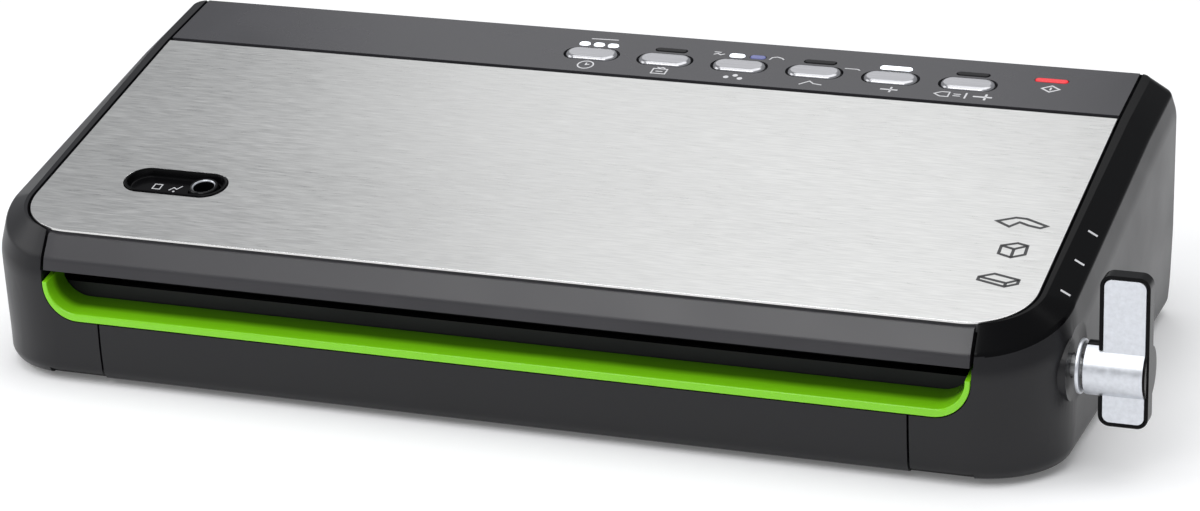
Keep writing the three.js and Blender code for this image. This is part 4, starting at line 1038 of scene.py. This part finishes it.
def surface_of(name):
    """The triangles of a finished piece, to lay printed marks on."""
    mesh = bpy.data.objects[name].data
    mesh.calc_loop_triangles()
    to_housing = TO_ROW.inverted()
    points = [to_housing @ vertex.co for vertex in mesh.vertices]
    return BVHTree.FromPolygons(points, [tuple(t.vertices) for t in mesh.loop_triangles])


def make_ticks():
    """Three short white lines on the right shoulder, above and behind the lever."""
    marks = []
    surface = surface_of("end_shell_right")
    for y in TICK_Y:
        across = (shoulder(y, 1) - shoulder(y, 0)).normalized()
        centre, normal = surface.find_nearest(shoulder(y, 0.56))[:2]
        along = normal.cross(across).normalized()
        basis = Matrix((along.cross(normal), along, normal)).transposed().to_4x4()
        mark = ribbon([(-1.9, 0), (1.9, 0)], 1.0, 0.1)
        marks.append(moved(mark, Matrix.Translation(centre) @ basis))
    finish_piece(join_meshes(marks), "position_ticks", "base", [ink_white], bevel=0)


# ---------------------------------------------------------------- CAD nodes that stay
# They keep their meshes and get a material, welded vertices and a small rounding.
KEPT = [
    (inner_black, ["deck", "heater_bar", "drip_tray", "cutter_rail", "lid_switch", "lid_liner"]),
    (inner_black, ["lid_catch_right", "lid_catch_left", "latch_hook_right", "latch_hook_left"]),
    (inner_black, ["pump_block", "pump_head_upper", "pump_head_lower"]),
    (zinc, ["cutter_blade", "hinge_pin_right", "hinge_pin_left", "pump_motor", "pump_shaft"]),
    (zinc, ["lever_crank", "latch_link", "cross_shaft"]),
    (rubber, ["foot_front_left", "foot_front_right", "foot_rear_left", "foot_rear_right"]),
    (rubber, ["seal_pad", "button_membrane"]),
    (foam, ["lower_gasket", "upper_gasket"]),
    (board_green, ["main_board", "button_board"]),
    (green, ["cutter_carriage"]),
    (tape, ["heater_strip"]),
    (clear, ["vacuum_hose"]),
    (copper, ["transformer"]),
]


def dress_kept_nodes():
    for material, name in ((material, name) for material, names in KEPT for name in names):
        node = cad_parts[name]
        node.data.materials.clear()
        node.data.materials.append(material)
        weld = node.modifiers.new("weld", "WELD")
        weld.merge_threshold = WELD * MM
        low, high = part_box(name)
        smooth_modifiers(node, min(0.3, min(high - low) / MM / 8))


# ---------------------------------------------------------------- stage, light and camera
def make_stage():
    bpy.ops.mesh.primitive_plane_add(size=9, location=(0, 1.2, 0))
    floor = bpy.context.object
    floor.name = "floor"
    material, principled = shader("pale_floor", (0.9, 0.9, 0.905), 0.7)
    principled.inputs["Emission Color"].default_value = (1, 1, 1, 1)
    principled.inputs["Emission Strength"].default_value = 0.12
    paper = noise(material, 300, 3)
    tint(material, principled, paper, (0.89, 0.89, 0.895), (0.91, 0.91, 0.915))
    floor.data.materials.append(material)


def area_light(name, position, target, size, power):
    light = bpy.data.lights.new(name, "AREA")
    light.shape = "RECTANGLE"
    light.size, light.size_y = size
    light.energy = power
    obj = bpy.data.objects.new(name, light)
    obj.location = position
    obj.rotation_euler = (Vector(target) - Vector(position)).to_track_quat("-Z", "Y").to_euler()
    bpy.context.scene.collection.objects.link(obj)


def make_light():
    world = bpy.data.worlds.new("studio")
    world.use_nodes = True
    background = world.node_tree.nodes["Background"]
    background.inputs["Color"].default_value = (0.95, 0.97, 1, 1)
    background.inputs["Strength"].default_value = 0.38
    bpy.context.scene.world = world
    area_light("overhead", (-0.5, 1.3, 1.35), (0, 0, 0.05), (0.7, 1.1), 1.75)
    area_light("front_key", (-0.4, -1.6, 1.5), (0, 0, 0.05), (1.2, 0.9), 13)
    area_light("top_fill", (0.2, -0.1, 2.2), (0, 0, 0), (2.6, 2.4), 36)
    area_light("left_fill", (-1.6, -0.5, 0.9), (0, 0, 0.05), (1.0, 1.2), 7)


CAMERA_LENS = 114.02
CAMERA_PLACE = Vector((481.92, -1151.07, 516.33))
CAMERA_RIGHT = Vector((0.93774, 0.34627, -0.02733)).normalized()
CAMERA_FORWARD = Vector((-0.33452, 0.8791, -0.33954)).normalized()


def make_camera():
    camera = bpy.data.cameras.new("camera")
    camera.sensor_width = 36
    camera.lens = CAMERA_LENS
    camera.clip_end = 50
    obj = bpy.data.objects.new("camera", camera)
    turn = Matrix((CAMERA_RIGHT, CAMERA_RIGHT.cross(CAMERA_FORWARD), -CAMERA_FORWARD)).transposed()
    obj.matrix_world = Matrix.Translation(TO_ROW @ CAMERA_PLACE) @ turn.to_4x4()
    bpy.context.scene.collection.objects.link(obj)
    bpy.context.scene.camera = obj


make_camera()
make_light()
bpy.context.scene.view_settings.view_transform = "Standard"
make_stage()
make_base()
make_screws()
make_end_cap(1)
make_end_cap(-1)
make_rear_cover()
make_gland()
make_control_panel()
make_buttons()
make_lenses()
make_shelf()
make_lid_frame()
make_lid_skin()
make_port()
make_lever()
make_panel_marks()
make_lid_marks()
make_ticks()
dress_kept_nodes()
for part in (OUTER, INNER):
    bpy.data.objects.remove(part)
